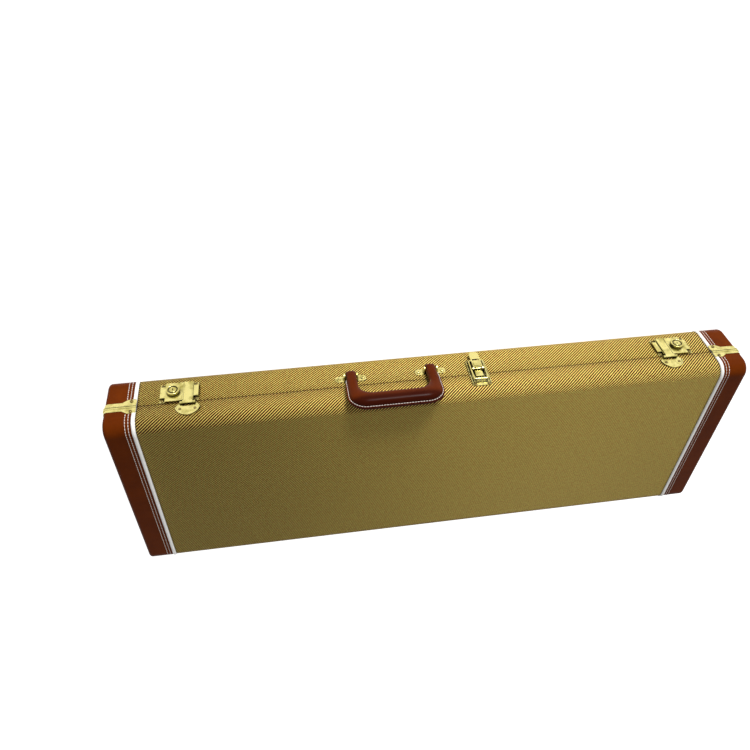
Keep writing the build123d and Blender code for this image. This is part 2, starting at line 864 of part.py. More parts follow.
def lock_spring():
    """The return spring between the bolt and the tray's end wall."""
    start = bolt_end + spring_end_gap
    length = tray_wall_x - spring_end_gap - start
    middle = (start, 0, bolt_lift + bolt_thickness / 2)
    helix = Helix(length / spring_turns, length, spring_coil_radius, center=middle, direction=(1, 0, 0))
    section = Plane(origin=helix @ 0, z_dir=helix % 0) * Circle(spring_wire_radius)
    return sweep(section, path=helix)


def hasp():
    """The strap with turned edges, its barrel and its staple."""
    low = lock_plate_height + hasp_gap
    top = low + hasp_thickness
    axis_y = seam_height + hasp_axis_above_seam - lock_middle
    half = hasp_width / 2
    outline = Pos(0, axis_y - hasp_length / 2) * Rectangle(hasp_width, hasp_length)
    outline = fillet(outline.vertices().group_by(Axis.Y)[0], hasp_corner)
    strap = Pos(0, 0, low) * extrude(outline, hasp_thickness + hasp_edge_height)
    inner = half - hasp_edge_width
    strap -= block((-inner, inner), (-far, far), (top, far))
    strap -= block((-far, far), (axis_y - hasp_edge_from_axis, far), (top, far))
    barrel_z = top - hasp_barrel_radius
    strap += rod(hasp_barrel_radius, (-half, half), axis_y, barrel_z)
    strap -= rod(hasp_pin_radius + hasp_pin_clearance, (-far, far), axis_y, barrel_z)
    staple_half = staple_width / 2
    staple_y = (-staple_length / 2, staple_length / 2)
    staple = block((-staple_half, staple_half), staple_y, (staple_floor_gap, low))
    eye_low = bolt_lift + bolt_thickness / 2 - staple_eye_height / 2
    eye_y = (-staple_eye_length / 2, staple_eye_length / 2)
    eye = block((-far, far), eye_y, (eye_low, eye_low + staple_eye_height))
    return Pos(-hasp_offset) * (strap + staple - eye)


hasp_barrel_z = lock_plate_height + hasp_gap + hasp_thickness - hasp_barrel_radius
hasp_knuckle_inner = hasp_width / 2 + hasp_knuckle_gap
hasp_knuckle_outer = hasp_knuckle_inner + hasp_knuckle_width
HASP = HANDLE_SIDE * Pos(lock_reach - hasp_offset, seam_height)


def hasp_mount():
    """The half-moon plate on the lid, with a turned rim and two knuckles for the hasp's pin."""
    half = hasp_mount_width / 2
    top = hasp_mount_top_above_seam
    low = hasp_axis_above_seam - hasp_barrel_radius
    shoulder = low + hasp_mount_shoulder
    moon = Polyline(
        (half, shoulder), (hasp_knuckle_outer, low), (-hasp_knuckle_outer, low), (-half, shoulder)
    )
    arc = ThreePointArc((-half, shoulder), (0, top), (half, shoulder))
    plate_face = make_face(moon.edges() + arc.edges())
    plate = extrude(plate_face, hasp_mount_sheet)
    rim_arc = ThreePointArc(
        (-half + hasp_mount_rim, shoulder), (0, top - hasp_mount_rim), (half - hasp_mount_rim, shoulder)
    )
    chord = Line((half - hasp_mount_rim, shoulder), (-half + hasp_mount_rim, shoulder))
    moon_chord = Line((half, shoulder), (-half, shoulder))
    rim_face = make_face(arc.edges() + moon_chord.edges()) - make_face(rim_arc.edges() + chord.edges())
    plate += extrude(rim_face, hasp_mount_sheet + hasp_mount_rim_height)
    gap_top = shoulder - hasp_mount_rim
    plate -= block((-hasp_knuckle_inner, hasp_knuckle_inner), (-far, gap_top), (-overcut, far))
    for side in (-1, 1):
        x = sorted((side * hasp_knuckle_inner, side * hasp_knuckle_outer))
        plate += rod(hasp_barrel_radius, x, hasp_axis_above_seam, hasp_barrel_z)
        plate += block(x, (low, low + 2 * hasp_barrel_radius), (0, hasp_barrel_z))
    plate -= rod(hasp_pin_radius, (-far, far), hasp_axis_above_seam, hasp_barrel_z)
    rivet = Cylinder(screw_shank_radius, far)
    return plate - [Pos(x, hasp_rivet_y) * rivet for x in hasp_rivet_xs]


hasp_rivet_xs = (-hasp_rivet_spacing / 2, hasp_rivet_spacing / 2)
hasp_rivet_y = hasp_axis_above_seam + hasp_mount_shoulder + hasp_rivet_radius


def hasp_rivets():
    head = Pos(0, 0, hasp_mount_sheet) * Cylinder(hasp_rivet_radius, hasp_rivet_height, align=SITTING)
    head = fillet(head.edges().group_by(Axis.Z)[-1], hasp_rivet_rounding)
    rivet = head + rivet_shank()
    left = [HASP * Pos(x, hasp_rivet_y) * rivet for x in hasp_rivet_xs]
    return group(left + [other_side(piece) for piece in left])


def rivet_shank():
    start = hasp_mount_sheet - hasp_rivet_length
    return Pos(0, 0, start) * Cylinder(screw_shank_radius, hasp_rivet_length, align=SITTING)


def hasp_rivet_holes():
    left = [HASP * Pos(x, hasp_rivet_y) * rivet_shank() for x in hasp_rivet_xs]
    return left + [other_side(piece) for piece in left]


def hasp_pins():
    pin = HASP * rod(
        hasp_pin_radius, (-hasp_knuckle_outer, hasp_knuckle_outer), hasp_axis_above_seam, hasp_barrel_z
    )
    return group([pin, other_side(pin)])


# Draw latch, in the handle side's own plane about its own middle: y is the height above the seam

DRAW = HANDLE_SIDE * Pos(draw_x, seam_height)
lever_half = lever_width / 2
draw_ear_inner = lever_half + draw_side_gap
draw_ear_outer = draw_ear_inner + draw_ear_thickness
bail_pivot_y = -draw_axis_below_seam - bail_arm
lever_top = lever_underside + lever_thickness


def latch_sheet(low, high, rounded_end):
    """A flat plate with a raised rail along each side; rounded_end is the end with round corners."""
    half = draw_plate_width / 2
    plate = block((-half, half), (low, high), (0, draw_sheet))
    ends = plate.edges().filter_by(Axis.Z).group_by(Axis.Y)
    plate = fillet(ends[rounded_end], draw_corner)
    for side in (-1, 1):
        x = sorted((side * half, side * (half - draw_rail_width)))
        plate += block(x, (low + draw_corner, high - draw_corner), (0, draw_rail_height))
    return plate


def draw_latch_plate():
    """The base half's plate, with the lever's ears and the bridge over the seam."""
    low = draw_plate_bottom - seam_height
    shape = latch_sheet(low, -draw_plate_from_seam, 0)
    boss_low = -draw_axis_below_seam - draw_pivot_boss
    boss_high = -draw_axis_below_seam + draw_pivot_boss
    for side in (-1, 1):
        x = sorted((side * draw_ear_inner, side * draw_ear_outer))
        shape += block(x, (boss_low, boss_high), (0, draw_axis_height))
        shape += rod(draw_pivot_boss, x, -draw_axis_below_seam, draw_axis_height)
    shape -= rod(draw_pin_radius, (-far, far), -draw_axis_below_seam, draw_axis_height)
    bridge_half = draw_bridge_width / 2
    start = -draw_axis_below_seam + draw_bridge_start
    x = (-bridge_half, bridge_half)
    shape += block(x, (start, start + draw_bridge_reach), (draw_bridge_top - draw_sheet, draw_bridge_top))
    shape += block(x, (start, start + draw_sheet), (0, draw_bridge_top))
    return DRAW * shape


def draw_latch_pin():
    pin = rod(draw_pin_radius, (-draw_ear_outer, draw_ear_outer), -draw_axis_below_seam, draw_axis_height)
    return DRAW * pin


def draw_latch_hook():
    """The lid half's plate and the rounded nose that the bail passes over."""
    low = hook_bottom - seam_height
    shape = latch_sheet(low, hook_top - seam_height, -1)
    half = hook_nose_width / 2
    nose_y = bail_end_above_seam - hook_nose_behind_bail
    nose = rod(hook_nose_radius, (-half, half), nose_y, 0)
    nose = fillet(nose.edges().filter_by(GeomType.CIRCLE), hook_nose_rounding)
    shape += nose & block((-far, far), (-far, far), (0, far))
    return DRAW * shape


def draw_lever():
    """The lever: a top plate with a rounded tip and a pressed panel, and a skirt on each side."""
    axis_y = -draw_axis_below_seam
    tip = axis_y - lever_length
    plate = block((-lever_half, lever_half), (tip, axis_y - lever_end_gap), (lever_underside, lever_top))
    plate = fillet(plate.edges().filter_by(Axis.Z).group_by(Axis.Y)[0], lever_tip_corner)
    panel_y = axis_y - lever_end_gap - lever_panel_from_end - lever_panel_size / 2
    plate += Pos(0, panel_y, lever_top) * Box(
        lever_panel_size, lever_panel_size, lever_panel_height, align=SITTING
    )
    slot = Box(lever_slot_length, lever_slot_width, far)
    plate -= Pos(0, bail_pivot_y, 0) * slot
    skirt_low = lever_underside - lever_skirt_drop
    skirt_end = bail_pivot_y - lever_skirt_past_bail
    for side in (-1, 1):
        x = sorted((side * lever_half, side * (lever_half - lever_skirt)))
        plate += block(x, (skirt_end, axis_y), (skirt_low, lever_underside))
        plate += rod(draw_pivot_boss, x, axis_y, draw_axis_height)
    plate -= rod(draw_pin_radius + draw_pin_clearance, (-far, far), axis_y, draw_axis_height)
    plate -= rod(bail_wire_radius + bail_clearance, (-far, far), bail_pivot_y, draw_axis_height)
    return DRAW * plate


def draw_bail():
    """The bent wire: a tail in each skirt, two legs and the bar past the hook's nose."""
    tail = lever_half - lever_skirt - bail_tail
    path = FilletPolyline(
        (-tail, bail_pivot_y, draw_axis_height),
        (-bail_half_width, bail_pivot_y, draw_axis_height),
        (-bail_half_width, bail_end_above_seam, draw_axis_height),
        (bail_half_width, bail_end_above_seam, draw_axis_height),
        (bail_half_width, bail_pivot_y, draw_axis_height),
        (tail, bail_pivot_y, draw_axis_height),
        radius=bail_bend_radius,
    )
    start = Plane(origin=path @ 0, z_dir=path % 0)
    return DRAW * sweep(start * Circle(bail_wire_radius), path=path)


# Every node

def make_nodes():
    nodes = {"base_shell": base_shell(), "base_tweed": base_tweed()}
    nodes.update(trimmed_ends("base", below_seam, base_screw_places))
    nodes["base_screws"] = group([place * pan_screw() for place in base_screw_places])
    nodes["base_lining"] = base_lining()
    nodes["rim_lip"] = rim_lip()
    nodes["body_surround"] = body_surround()
    nodes["neck_side_block"] = neck_side_block()
    nodes["neck_cradle"] = neck_cradle()
    nodes["accessory_box"] = accessory_box()
    nodes["left_lock_plate"] = drilled(LOCK * lock_plate(), base_screw_places)
    nodes["left_lock_spring"] = LOCK * lock_spring()
    nodes["draw_latch_plate"] = drilled(draw_latch_plate(), base_screw_places)
    nodes["draw_latch_pin"] = draw_latch_pin()
    nodes["handle_brackets"] = handle_brackets()
    nodes["handle_bracket_screws"] = group(
        [place * pan_screw(bracket_screw_radius) for place in handle_screw_places()]
    )
    nodes["handle_pins"] = handle_pins()
    nodes["hinge_base_leaves"] = hinge_leaves(-1, base_screw_places)
    nodes["hinge_pins"] = hinge_pins()
    nodes["base_feet"] = group([place * foot() for place in base_foot_places])
    nodes["lid_shell"] = lid_shell()
    nodes["lid_tweed"] = lid_tweed()
    nodes.update(trimmed_ends("lid", above_seam, lid_screw_places))
    nodes["lid_screws"] = group([place * pan_screw() for place in lid_screw_places])
    nodes["lid_lining"] = lid_lining()
    nodes["lid_pad"] = lid_pad()
    nodes["left_hasp_mount"] = HASP * hasp_mount()
    nodes["hasp_mount_rivets"] = hasp_rivets()
    nodes["hasp_pins"] = hasp_pins()
    nodes["draw_latch_hook"] = drilled(draw_latch_hook(), lid_screw_places)
    nodes["hinge_lid_leaves"] = hinge_leaves(1, lid_screw_places)
    nodes["lid_feet"] = group([place * foot() for place in lid_foot_places])
    nodes["left_hasp"] = LOCK * hasp()
    nodes["left_lock_button"] = LOCK * lock_button()
    nodes["left_key_plug"] = LOCK * key_plug()
    nodes["draw_lever"] = draw_lever()
    nodes["draw_bail"] = draw_bail()
    nodes["handle_core"] = HANDLE * handle_core_shape()
    nodes["handle_grip"] = HANDLE * handle_grip_shape()
    for name in ("hasp_mount", "hasp", "lock_plate", "lock_spring", "lock_button", "key_plug"):
        nodes[f"right_{name}"] = other_side(nodes[f"left_{name}"])
    return nodes


os.makedirs("parts", exist_ok=True)
for node, shape in make_nodes().items():
    export_step(group([shape]), f"parts/{node}.step")
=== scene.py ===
"""Dresses the tweed instrument case with its cloth, leather, piping, brass and plush."""
import logging
import math
from dataclasses import dataclass, field
from enum import Enum
from typing import Any, Iterator, Mapping

import bmesh
import bpy
from bmesh.types import BMEdge, BMesh, BMVert
from bpy.types import ID, Material, Mesh, Modifier, Node, NodeSocket, NodeTree, Object
from mathutils import Matrix, Vector


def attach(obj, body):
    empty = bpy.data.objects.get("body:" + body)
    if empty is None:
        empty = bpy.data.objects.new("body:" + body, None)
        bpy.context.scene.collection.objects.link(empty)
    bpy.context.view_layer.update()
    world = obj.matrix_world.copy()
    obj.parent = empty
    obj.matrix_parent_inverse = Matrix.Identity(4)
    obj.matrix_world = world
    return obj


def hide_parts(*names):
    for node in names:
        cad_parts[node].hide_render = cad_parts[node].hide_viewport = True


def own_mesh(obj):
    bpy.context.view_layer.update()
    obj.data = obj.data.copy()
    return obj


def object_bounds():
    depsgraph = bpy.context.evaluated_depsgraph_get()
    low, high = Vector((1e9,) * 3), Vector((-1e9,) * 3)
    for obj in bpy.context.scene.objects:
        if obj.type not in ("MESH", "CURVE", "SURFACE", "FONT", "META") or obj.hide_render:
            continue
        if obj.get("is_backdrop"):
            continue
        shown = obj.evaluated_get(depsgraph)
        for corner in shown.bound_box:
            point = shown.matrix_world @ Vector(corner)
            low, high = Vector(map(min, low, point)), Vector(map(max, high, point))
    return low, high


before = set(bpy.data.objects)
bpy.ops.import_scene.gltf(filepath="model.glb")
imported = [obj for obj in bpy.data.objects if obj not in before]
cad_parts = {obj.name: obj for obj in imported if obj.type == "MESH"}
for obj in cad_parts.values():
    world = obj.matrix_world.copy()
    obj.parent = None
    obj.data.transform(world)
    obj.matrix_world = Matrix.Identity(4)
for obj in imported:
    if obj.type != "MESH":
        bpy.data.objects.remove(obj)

log = logging.getLogger("case")

MM = 0.001
# Height of the seam between the halves, in millimetres
SEAM = 65.0
WHITE = (1.0, 1.0, 1.0, 1.0)
# The sockets of a Mix node that mixes colours
SHARE, FIRST, SECOND, MIXED = 0, 6, 7, 2

Inputs = Mapping[Any, Any]
Fixed = tuple[tuple[str, float], ...]
Span = tuple[float, float]
Tones = tuple[str, str]
Point = tuple[float, float, float]


class Half(Enum):
    """The two halves of the case, by the name of the body that carries each."""

    BASE = "base"
    LID = "lid"


class End(Enum):
    """The two ends of the case, with the sign of their place along X."""

    LEFT = 1
    RIGHT = -1


class Slot(Enum):
    """The record's material slot names that are passed along with new pieces."""

    TWEED = "tweed"
    LEATHER = "leather"
    PLUSH = "plush"
    STEEL = "steel"


# Small tools for materials and meshes


def linear(code: str) -> tuple[float, float, float, float]:
    """Turns an sRGB hex value into a linear colour.

    Args:
        code: Six hex digits after a hash.

    Returns:
        Red, green, blue and an alpha of 1.
    """
    parts = [int(code[i : i + 2], 16) / 255 for i in (1, 3, 5)]
    bent = [p / 12.92 if p <= 0.04045 else ((p + 0.055) / 1.055) ** 2.4 for p in parts]
    return (*bent, 1.0)


def feed(tree: NodeTree, node: Node, inputs: Inputs) -> None:
    """Gives a node's inputs their values and links.

    Args:
        tree: The node tree.
        node: The node.
        inputs: For each socket's name or number, a value or the socket that feeds it.
    """
    for socket, value in inputs.items():
        if isinstance(value, NodeSocket):
            tree.links.new(value, node.inputs[socket])
        else:
            node.inputs[socket].default_value = value


def add_node(
    tree: NodeTree, kind: str, inputs: Inputs, out: int | str = 0, **settings: Any
) -> NodeSocket:
    """Adds one node with its settings, values and links.

    Args:
        tree: The node tree.
        kind: The node's type name, without its ShaderNode.
        inputs: What feed gives it.
        out: The name or number of the wanted output.
        **settings: The node's own properties.

    Returns:
        That output.
    """
    node = tree.nodes.new(f"ShaderNode{kind}")
    for name, value in settings.items():
        setattr(node, name, value)
    feed(tree, node, inputs)
    return node.outputs[out]


def looked_at(tree: NodeTree) -> NodeSocket:
    """Tells the rays that look at the studio from those that carry its light.

    Args:
        tree: The node tree.

    Returns:
        1 for a ray that comes straight from the camera, off a gloss or through glass.
    """
    found = add_node(tree, "LightPath", {}, "Is Camera Ray")
    for kind in ("Is Glossy Ray", "Is Transmission Ray"):
        ray = add_node(tree, "LightPath", {}, kind)
        found = add_node(tree, "Math", {0: found, 1: ray}, operation="MAXIMUM")
    return found


def add_object(name: str, data: ID) -> Object:
    """Puts an object into the scene.

    Args:
        name: Its name.
        data: Its mesh, lamp or camera.

    Returns:
        The new object.
    """
    thing = bpy.data.objects.new(name, data)
    bpy.context.scene.collection.objects.link(thing)
    return thing


def to_mesh(bm: BMesh, name: str, material: Material) -> Mesh:
    """Turns a shape into a mesh.

    Args:
        bm: The shape, which is freed here.
        name: The mesh's name.
        material: Its finish.

    Returns:
        The mesh.
    """
    mesh = bpy.data.meshes.new(name)
    bm.to_mesh(mesh)
    bm.free()
    mesh.materials.append(material)
    return mesh


def finish_piece(
    bm: BMesh, name: str, material: Material, body: str, slot: Slot,
    replaced: tuple[str, ...] = (), sharp: float = 40.0,
) -> Object:
    """Turns a shape into a smooth-shaded piece that rides on a body.

    Args:
        bm: The shape, which is freed here.
        name: The piece's name.
        material: Its finish.
        body: The body that carries it.
        slot: The record's material slot; not used.
        replaced: The solids that it stands for.
        sharp: Edges that turn by more than this many degrees stay sharp.

    Returns:
        The new object.
    """
    mesh = to_mesh(bm, name, material)
    mesh.shade_smooth()
    mesh.set_sharp_from_angle(angle=math.radians(sharp))
    piece = add_object(name, mesh)
    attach(piece, body)
    if replaced:
        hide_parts(*replaced)
    return piece


def copy_solid(node: str, merge: float = 0.01) -> BMesh:
    """Copies a solid and joins its loose triangles.

    Args:
        node: The solid's name.
        merge: Corners nearer than this many millimetres become one.

    Returns:
        The copy.
    """
    bm = bmesh.new()
    bm.from_mesh(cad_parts[node].data)
    bmesh.ops.remove_doubles(bm, verts=bm.verts, dist=merge * MM)
    return bm


def round_edges(
    bm: BMesh, edges: list[BMEdge], radius: float, steps: int, clamp: bool = False
) -> None:
    """Rounds edges of a shape.

    Args:
        bm: The shape.
        edges: Its edges.
        radius: How far from the edge the round begins, in millimetres.
        steps: The faces across the round.
        clamp: Whether a round stops where it would meet another.
    """
    bmesh.ops.bevel(
        bm, geom=edges, offset=radius * MM, offset_type="OFFSET", segments=steps, profile=0.5,
        affect="EDGES", material=-1, clamp_overlap=clamp,
    )


def add_stitch(bm: BMesh, matrix: Matrix) -> None:
    """Adds one stitch, a ball that the matrix draws out to its length."""
    bmesh.ops.create_uvsphere(bm, u_segments=6, v_segments=4, radius=1.0, matrix=matrix)


# Finishes


@dataclass(frozen=True)
class Noise:
    """A random pattern of one size, soft patches unless it is pebbled."""

    size_mm: float
    detail: float = 2.0
    roughness: float = 0.5
    # The noise that gives the first value, and the noise that gives the last one
    span: Span = (0.0, 1.0)
    values: Span = (0.0, 1.0)
    # How much longer the patches are along the case
    stretch: float = 1.0
    pebbled: bool = False

    def draw(self, tree: NodeTree, place: NodeSocket) -> NodeSocket:
        """Draws the patches, spread over their values, or the pebbles.

        Args:
            tree: The material's nodes.
            place: The place on the piece, in metres.

        Returns:
            A patch's value, or the distance from a pebble's middle.
        """
        if self.stretch != 1.0:
            scale = (1 / self.stretch, 1.0, 1.0)
            place = add_node(tree, "Mapping", {"Vector": place, "Scale": scale})
        inputs = {"Vector": place, "Scale": 1 / (self.size_mm * MM)}
        if self.pebbled:
            return add_node(tree, "TexVoronoi", inputs, "Distance", feature="SMOOTH_F1")
        inputs |= {"Detail": self.detail, "Roughness": self.roughness}
        noise = add_node(tree, "TexNoise", inputs)
        return add_node(
            tree, "MapRange",
            {
                "Value": noise, "From Min": self.span[0], "From Max": self.span[1],
                "To Min": self.values[0], "To Max": self.values[1],
            },
        )


@dataclass(frozen=True)
class Relief:
    """Bumps that are too fine for the mesh."""

    depth_mm: float
    strength: float

    def bump(self, tree: NodeTree, height: NodeSocket) -> NodeSocket:
        """Turns a height into bumps.

        Args:
            tree: The material's nodes.
            height: The height, as a share of the depth.

        Returns:
            The way the surface faces.
        """
        depth = self.depth_mm * MM
        inputs = {"Strength": self.strength, "Distance": depth, "Height": height}
        return add_node(tree, "Bump", inputs)


@dataclass(frozen=True)
class PaintedCreviceShade:
    """Painted shade that darkens shut-in places, seams and the feet of fittings, where shadow
    and dark reflections fall.
    """

    colour: str
    reach_mm: float
    # How open a place is where the painted shade is full, and where there is none
    open: Span
    samples: int = 8

    def over(self, tree: NodeTree, unshaded: NodeSocket) -> NodeSocket:
        """Lays the painted shade over the unshaded colour.

        Args:
            tree: The material's nodes.
            unshaded: The colour without the painted shade.

        Returns:
            The colour with its painted shade.
        """
        light = add_node(
            tree, "AmbientOcclusion", {"Distance": self.reach_mm * MM}, "AO",
            samples=self.samples,
        )
        share = add_node(
            tree, "MapRange",
            {"Value": light, "From Min": self.open[0], "From Max": self.open[1]},
        )
        return add_node(
            tree, "Mix", {SHARE: share, FIRST: linear(self.colour), SECOND: unshaded}, MIXED,
            data_type="RGBA",
        )


@dataclass(frozen=True)
class Finish:
    """One real material; each kind says in surface what its shader gets."""

    name: str

    def make(self) -> Material:
        """Builds the material.

        Returns:
            The material.
        """
        material = bpy.data.materials.new(self.name)
        material.use_nodes = True
        tree = material.node_tree
        feed(tree, tree.nodes["Principled BSDF"], self.surface(tree))
        return material

    def surface(self, tree: NodeTree) -> Inputs:
        """Draws the pattern of this finish.

        Args:
            tree: The material's nodes.

        Returns:
            The values and sockets for the shader's inputs.
        """
        raise NotImplementedError


@dataclass(frozen=True)
class Clouded(Finish):
    """A material whose first tone clouds into its second one."""

    tones: Tones
    clouds: Noise
    # The shader's inputs that are the same all over
    fixed: Fixed
    polish: Noise | None = None
    grain: Noise | None = None
    relief: Relief | None = None
    painted_crevice_shade: PaintedCreviceShade | None = None

    def surface(self, tree: NodeTree) -> Inputs:
        """Draws the clouds, and the polish, grain and painted crevice shade where the material
        has them.

        Args:
            tree: The material's nodes.

        Returns:
            The values and sockets for the shader's inputs.
        """
        place = add_node(tree, "TexCoord", {}, "Object")
        colour = self.colour(tree, place)
        # Paints shade over shut-in places, where the material has it
        if self.painted_crevice_shade:
            colour = self.painted_crevice_shade.over(tree, colour)
        inputs = dict(self.fixed) | {"Base Color": colour}
        if self.polish:
            inputs["Roughness"] = self.polish.draw(tree, place)
        if self.grain and self.relief:
            inputs["Normal"] = self.relief.bump(tree, self.grain.draw(tree, place))
        return inputs

    def colour(self, tree: NodeTree, place: NodeSocket) -> NodeSocket:
        """Clouds the tones.

        Args:
            tree: The material's nodes.
            place: The place on the piece, in metres.

        Returns:
            The colour.
        """
        first, second = (linear(tone) for tone in self.tones)
        share = self.clouds.draw(tree, place)
        return add_node(
            tree, "Mix", {SHARE: share, FIRST: first, SECOND: second}, MIXED, data_type="RGBA"
        )


@dataclass(frozen=True)
class TwillTweed(Clouded):
    """Lacquered cotton tweed in a diagonal twill: straw yellow ribs over dark brown ones.

    The real ribs are about 2.5 mm apart; they are drawn as wide as the photograph shows them,
    because finer ones would melt into one colour.
    """

    tones: Tones = ("#FDE676", "#F0AE5C")
    clouds: Noise = Noise(5.0, 2.0, 0.7, (0.42, 0.62), (0.0, 0.4))
    fixed: Fixed = (("Roughness", 0.6), ("Specular IOR Level", 0.08))
    grain: Noise = Noise(0.9, 2.0, 0.6)
    relief: Relief = Relief(0.4, 0.5)
    # Painted contact shade where the cloth meets the fittings, the piping and the handle
    painted_crevice_shade: PaintedCreviceShade = PaintedCreviceShade("#1C0D06", 4.0, (0.35, 0.85), samples=6)
    dark: str = "#401806"
    rib_mm: float = 5.15
    slope: float = 1.17
    # Where a rib turns from dark to light, as shares of its width
    rib_edge: Span = (0.275, 0.365)
    wander: Noise = Noise(8.333, 3.0, values=(0.0, 0.4 * MM))
    slub: Noise = Noise(0.9, 2.0, 0.6, (0.3, 0.7), (-0.08, 0.08))
    # The ribs' contrast on the panels and on the sides: painted light, stronger where the sides
    # would catch raking light
    painted_rake_contrast: Span = (0.55, 1.4)
    side_facing: Span = (0.03, 0.25)
    # The edge of the cloth that is folded in at the seam, and how dark its shadow is
    fold_mm: float = 0.7
    fold_shadow: float = 0.7

    def surface(self, tree: NodeTree) -> Inputs:
        """Draws the cloth by its own UV map, which is in millimetres.

        Args:
            tree: The material's nodes.

        Returns:
            The values and sockets for the shader's inputs.
        """
        uv = add_node(tree, "UVMap", {}, uv_map="cloth")
        place = add_node(tree, "Mapping", {"Vector": uv, "Scale": (MM, MM, MM)})
        rib, yarn = self.ribs(tree, place), self.grain.draw(tree, place)
        share, straw = self.lit(tree, rib, place), self.colour(tree, place)
        colour = add_node(
            tree, "Mix", {SHARE: share, FIRST: linear(self.dark), SECOND: straw}, MIXED,
            data_type="RGBA",
        )
        height = add_node(tree, "Math", {0: yarn, 1: 0.5, 2: rib}, operation="MULTIPLY_ADD")
        return {
            **dict(self.fixed),
            # The cloth's colour with its painted contact shade
            "Base Color": self.painted_crevice_shade.over(tree, colour),
            "Normal": self.relief.bump(tree, height),
        }

    def ribs(self, tree: NodeTree, place: NodeSocket) -> NodeSocket:
        """Draws the diagonal ribs, which wander a little.

        Args:
            tree: The material's nodes.
            place: The place on the cloth, in metres.

        Returns:
            1 on the light ribs and 0 between them.
        """
        along, around = (add_node(tree, "SeparateXYZ", {0: place}, axis) for axis in "XY")
        run = add_node(
            tree, "Math", {0: around, 1: -self.slope, 2: along}, operation="MULTIPLY_ADD"
        )
        sway = self.wander.draw(tree, place)
        swayed = add_node(tree, "Math", {0: run, 1: sway}, operation="ADD")
        count = add_node(tree, "Math", {0: swayed, 1: self.rib_mm * MM}, operation="DIVIDE")
        fold = add_node(tree, "Math", {0: count, 1: 0.5}, operation="PINGPONG")
        low, high = self.rib_edge
        return add_node(
            tree, "MapRange", {"Value": fold, "From Min": low, "From Max": high},
            interpolation_type="SMOOTHSTEP",
        )

    def lit(self, tree: NodeTree, rib: NodeSocket, place: NodeSocket) -> NodeSocket:
        """Finds how much of the light colour shows, with painted light in the ribs' contrast and
        a painted shadow in the seam.

        Args:
            tree: The material's nodes.
            rib: What ribs returns.
            place: The place on the cloth, in metres.

        Returns:
            The share of the light colour: nearer to half on the panels, where the painted light
                gives the ribs less contrast, and less in the seam's painted shadow.
        """
        # Painted light: the ribs get more contrast where the cloth faces sideways, as they would
        # under raking light
        normal = add_node(tree, "TexCoord", {}, "Normal")
        across = add_node(tree, "SeparateXYZ", {0: normal}, "Y")
        sideways = add_node(tree, "Math", {0: across}, operation="ABSOLUTE")
        low, high = self.side_facing
        painted_rake_contrast = add_node(
            tree, "MapRange",
            {
                "Value": sideways, "From Min": low, "From Max": high,
                "To Min": self.painted_rake_contrast[0], "To Max": self.painted_rake_contrast[1],
            },
        )
        centred = add_node(tree, "Math", {0: rib, 1: 0.5}, operation="SUBTRACT")
        scaled = add_node(
            tree, "Math", {0: centred, 1: painted_rake_contrast, 2: 0.5}, operation="MULTIPLY_ADD"
        )
        slub = self.slub.draw(tree, place)
        share = add_node(tree, "Math", {0: scaled, 1: slub}, operation="ADD", use_clamp=True)
        # Painted shadow along the folded edge of the cloth at the seam
        spot = add_node(tree, "TexCoord", {}, "Object")
        height = add_node(tree, "SeparateXYZ", {0: spot}, "Z")
        seam = add_node(
            tree, "Math", {0: height, 1: SEAM * MM, 2: self.fold_mm * MM}, operation="COMPARE"
        )
        return add_node(
            tree, "Math", {0: seam, 1: -self.fold_shadow, 2: share}, operation="MULTIPLY_ADD",
            use_clamp=True,
        )


@dataclass(frozen=True)
class GrainLeather(Clouded):
    """Smooth dyed leather, pressed with a fine pebble grain that breaks up its soft shine."""

    tones: Tones = ("#542004", "#6A2D06")
    clouds: Noise = Noise(35.714, 5.0, 0.6, (0.2, 0.8))
    fixed: Fixed = (("Specular IOR Level", 0.02),)
    polish: Noise = Noise(35.714, 5.0, 0.6, values=(0.24, 0.4))
    grain: Noise = Noise(1.1, pebbled=True)
    relief: Relief = Relief(0.1, 0.12)


@dataclass(frozen=True)
class HandleLeather(GrainLeather):
    """The handle's leather: smoother, with painted shade along the outside of the grip."""

    tones: Tones = ("#4A1802", "#5E2403")
    fixed: Fixed = (("Specular IOR Level", 0.035),)
    polish: Noise = Noise(35.714, 5.0, 0.6, values=(0.21, 0.37))
    grain: Noise = Noise(0.9, pebbled=True)
    # Painted shade on the outside of the grip, which faces away from the light
    painted_grip_shade: str = "#2C0802"
    # The heights in the case where the painted shade starts and where it is full
    painted_shade_mm: Span = (105.0, 115.0)
    most_painted_shade: float = 0.85

    def colour(self, tree: NodeTree, place: NodeSocket) -> NodeSocket:
        """Paints shade over the dye towards the outside of the grip.

        Args:
            tree: The material's nodes.
            place: The place in the case; the handle stands up along Z.

        Returns:
            The colour with its painted shade.
        """
        dyed = super().colour(tree, place)
        height = add_node(tree, "SeparateXYZ", {0: place}, "Z")
        low, high = (level * MM for level in self.painted_shade_mm)
        share = add_node(
            tree, "MapRange",
            {"Value": height, "From Min": low, "From Max": high, "To Max": self.most_painted_shade},
            interpolation_type="SMOOTHSTEP",
        )
        return add_node(
            tree, "Mix", {SHARE: share, FIRST: dyed, SECOND: linear(self.painted_grip_shade)}, MIXED,
            data_type="RGBA",
        )


@dataclass(frozen=True)
class SoftVinyl(Clouded):
    """White extruded vinyl, plain and glossy, with the faint waves of the extruder."""

    tones: Tones = ("#F1F0EA", "#FCFBF8")
    clouds: Noise = Noise(16.667)
    fixed: Fixed = (("Specular IOR Level", 0.8), ("Coat Weight", 0.8), ("Coat Roughness", 0.12))
    polish: Noise = Noise(16.667, values=(0.22, 0.36))


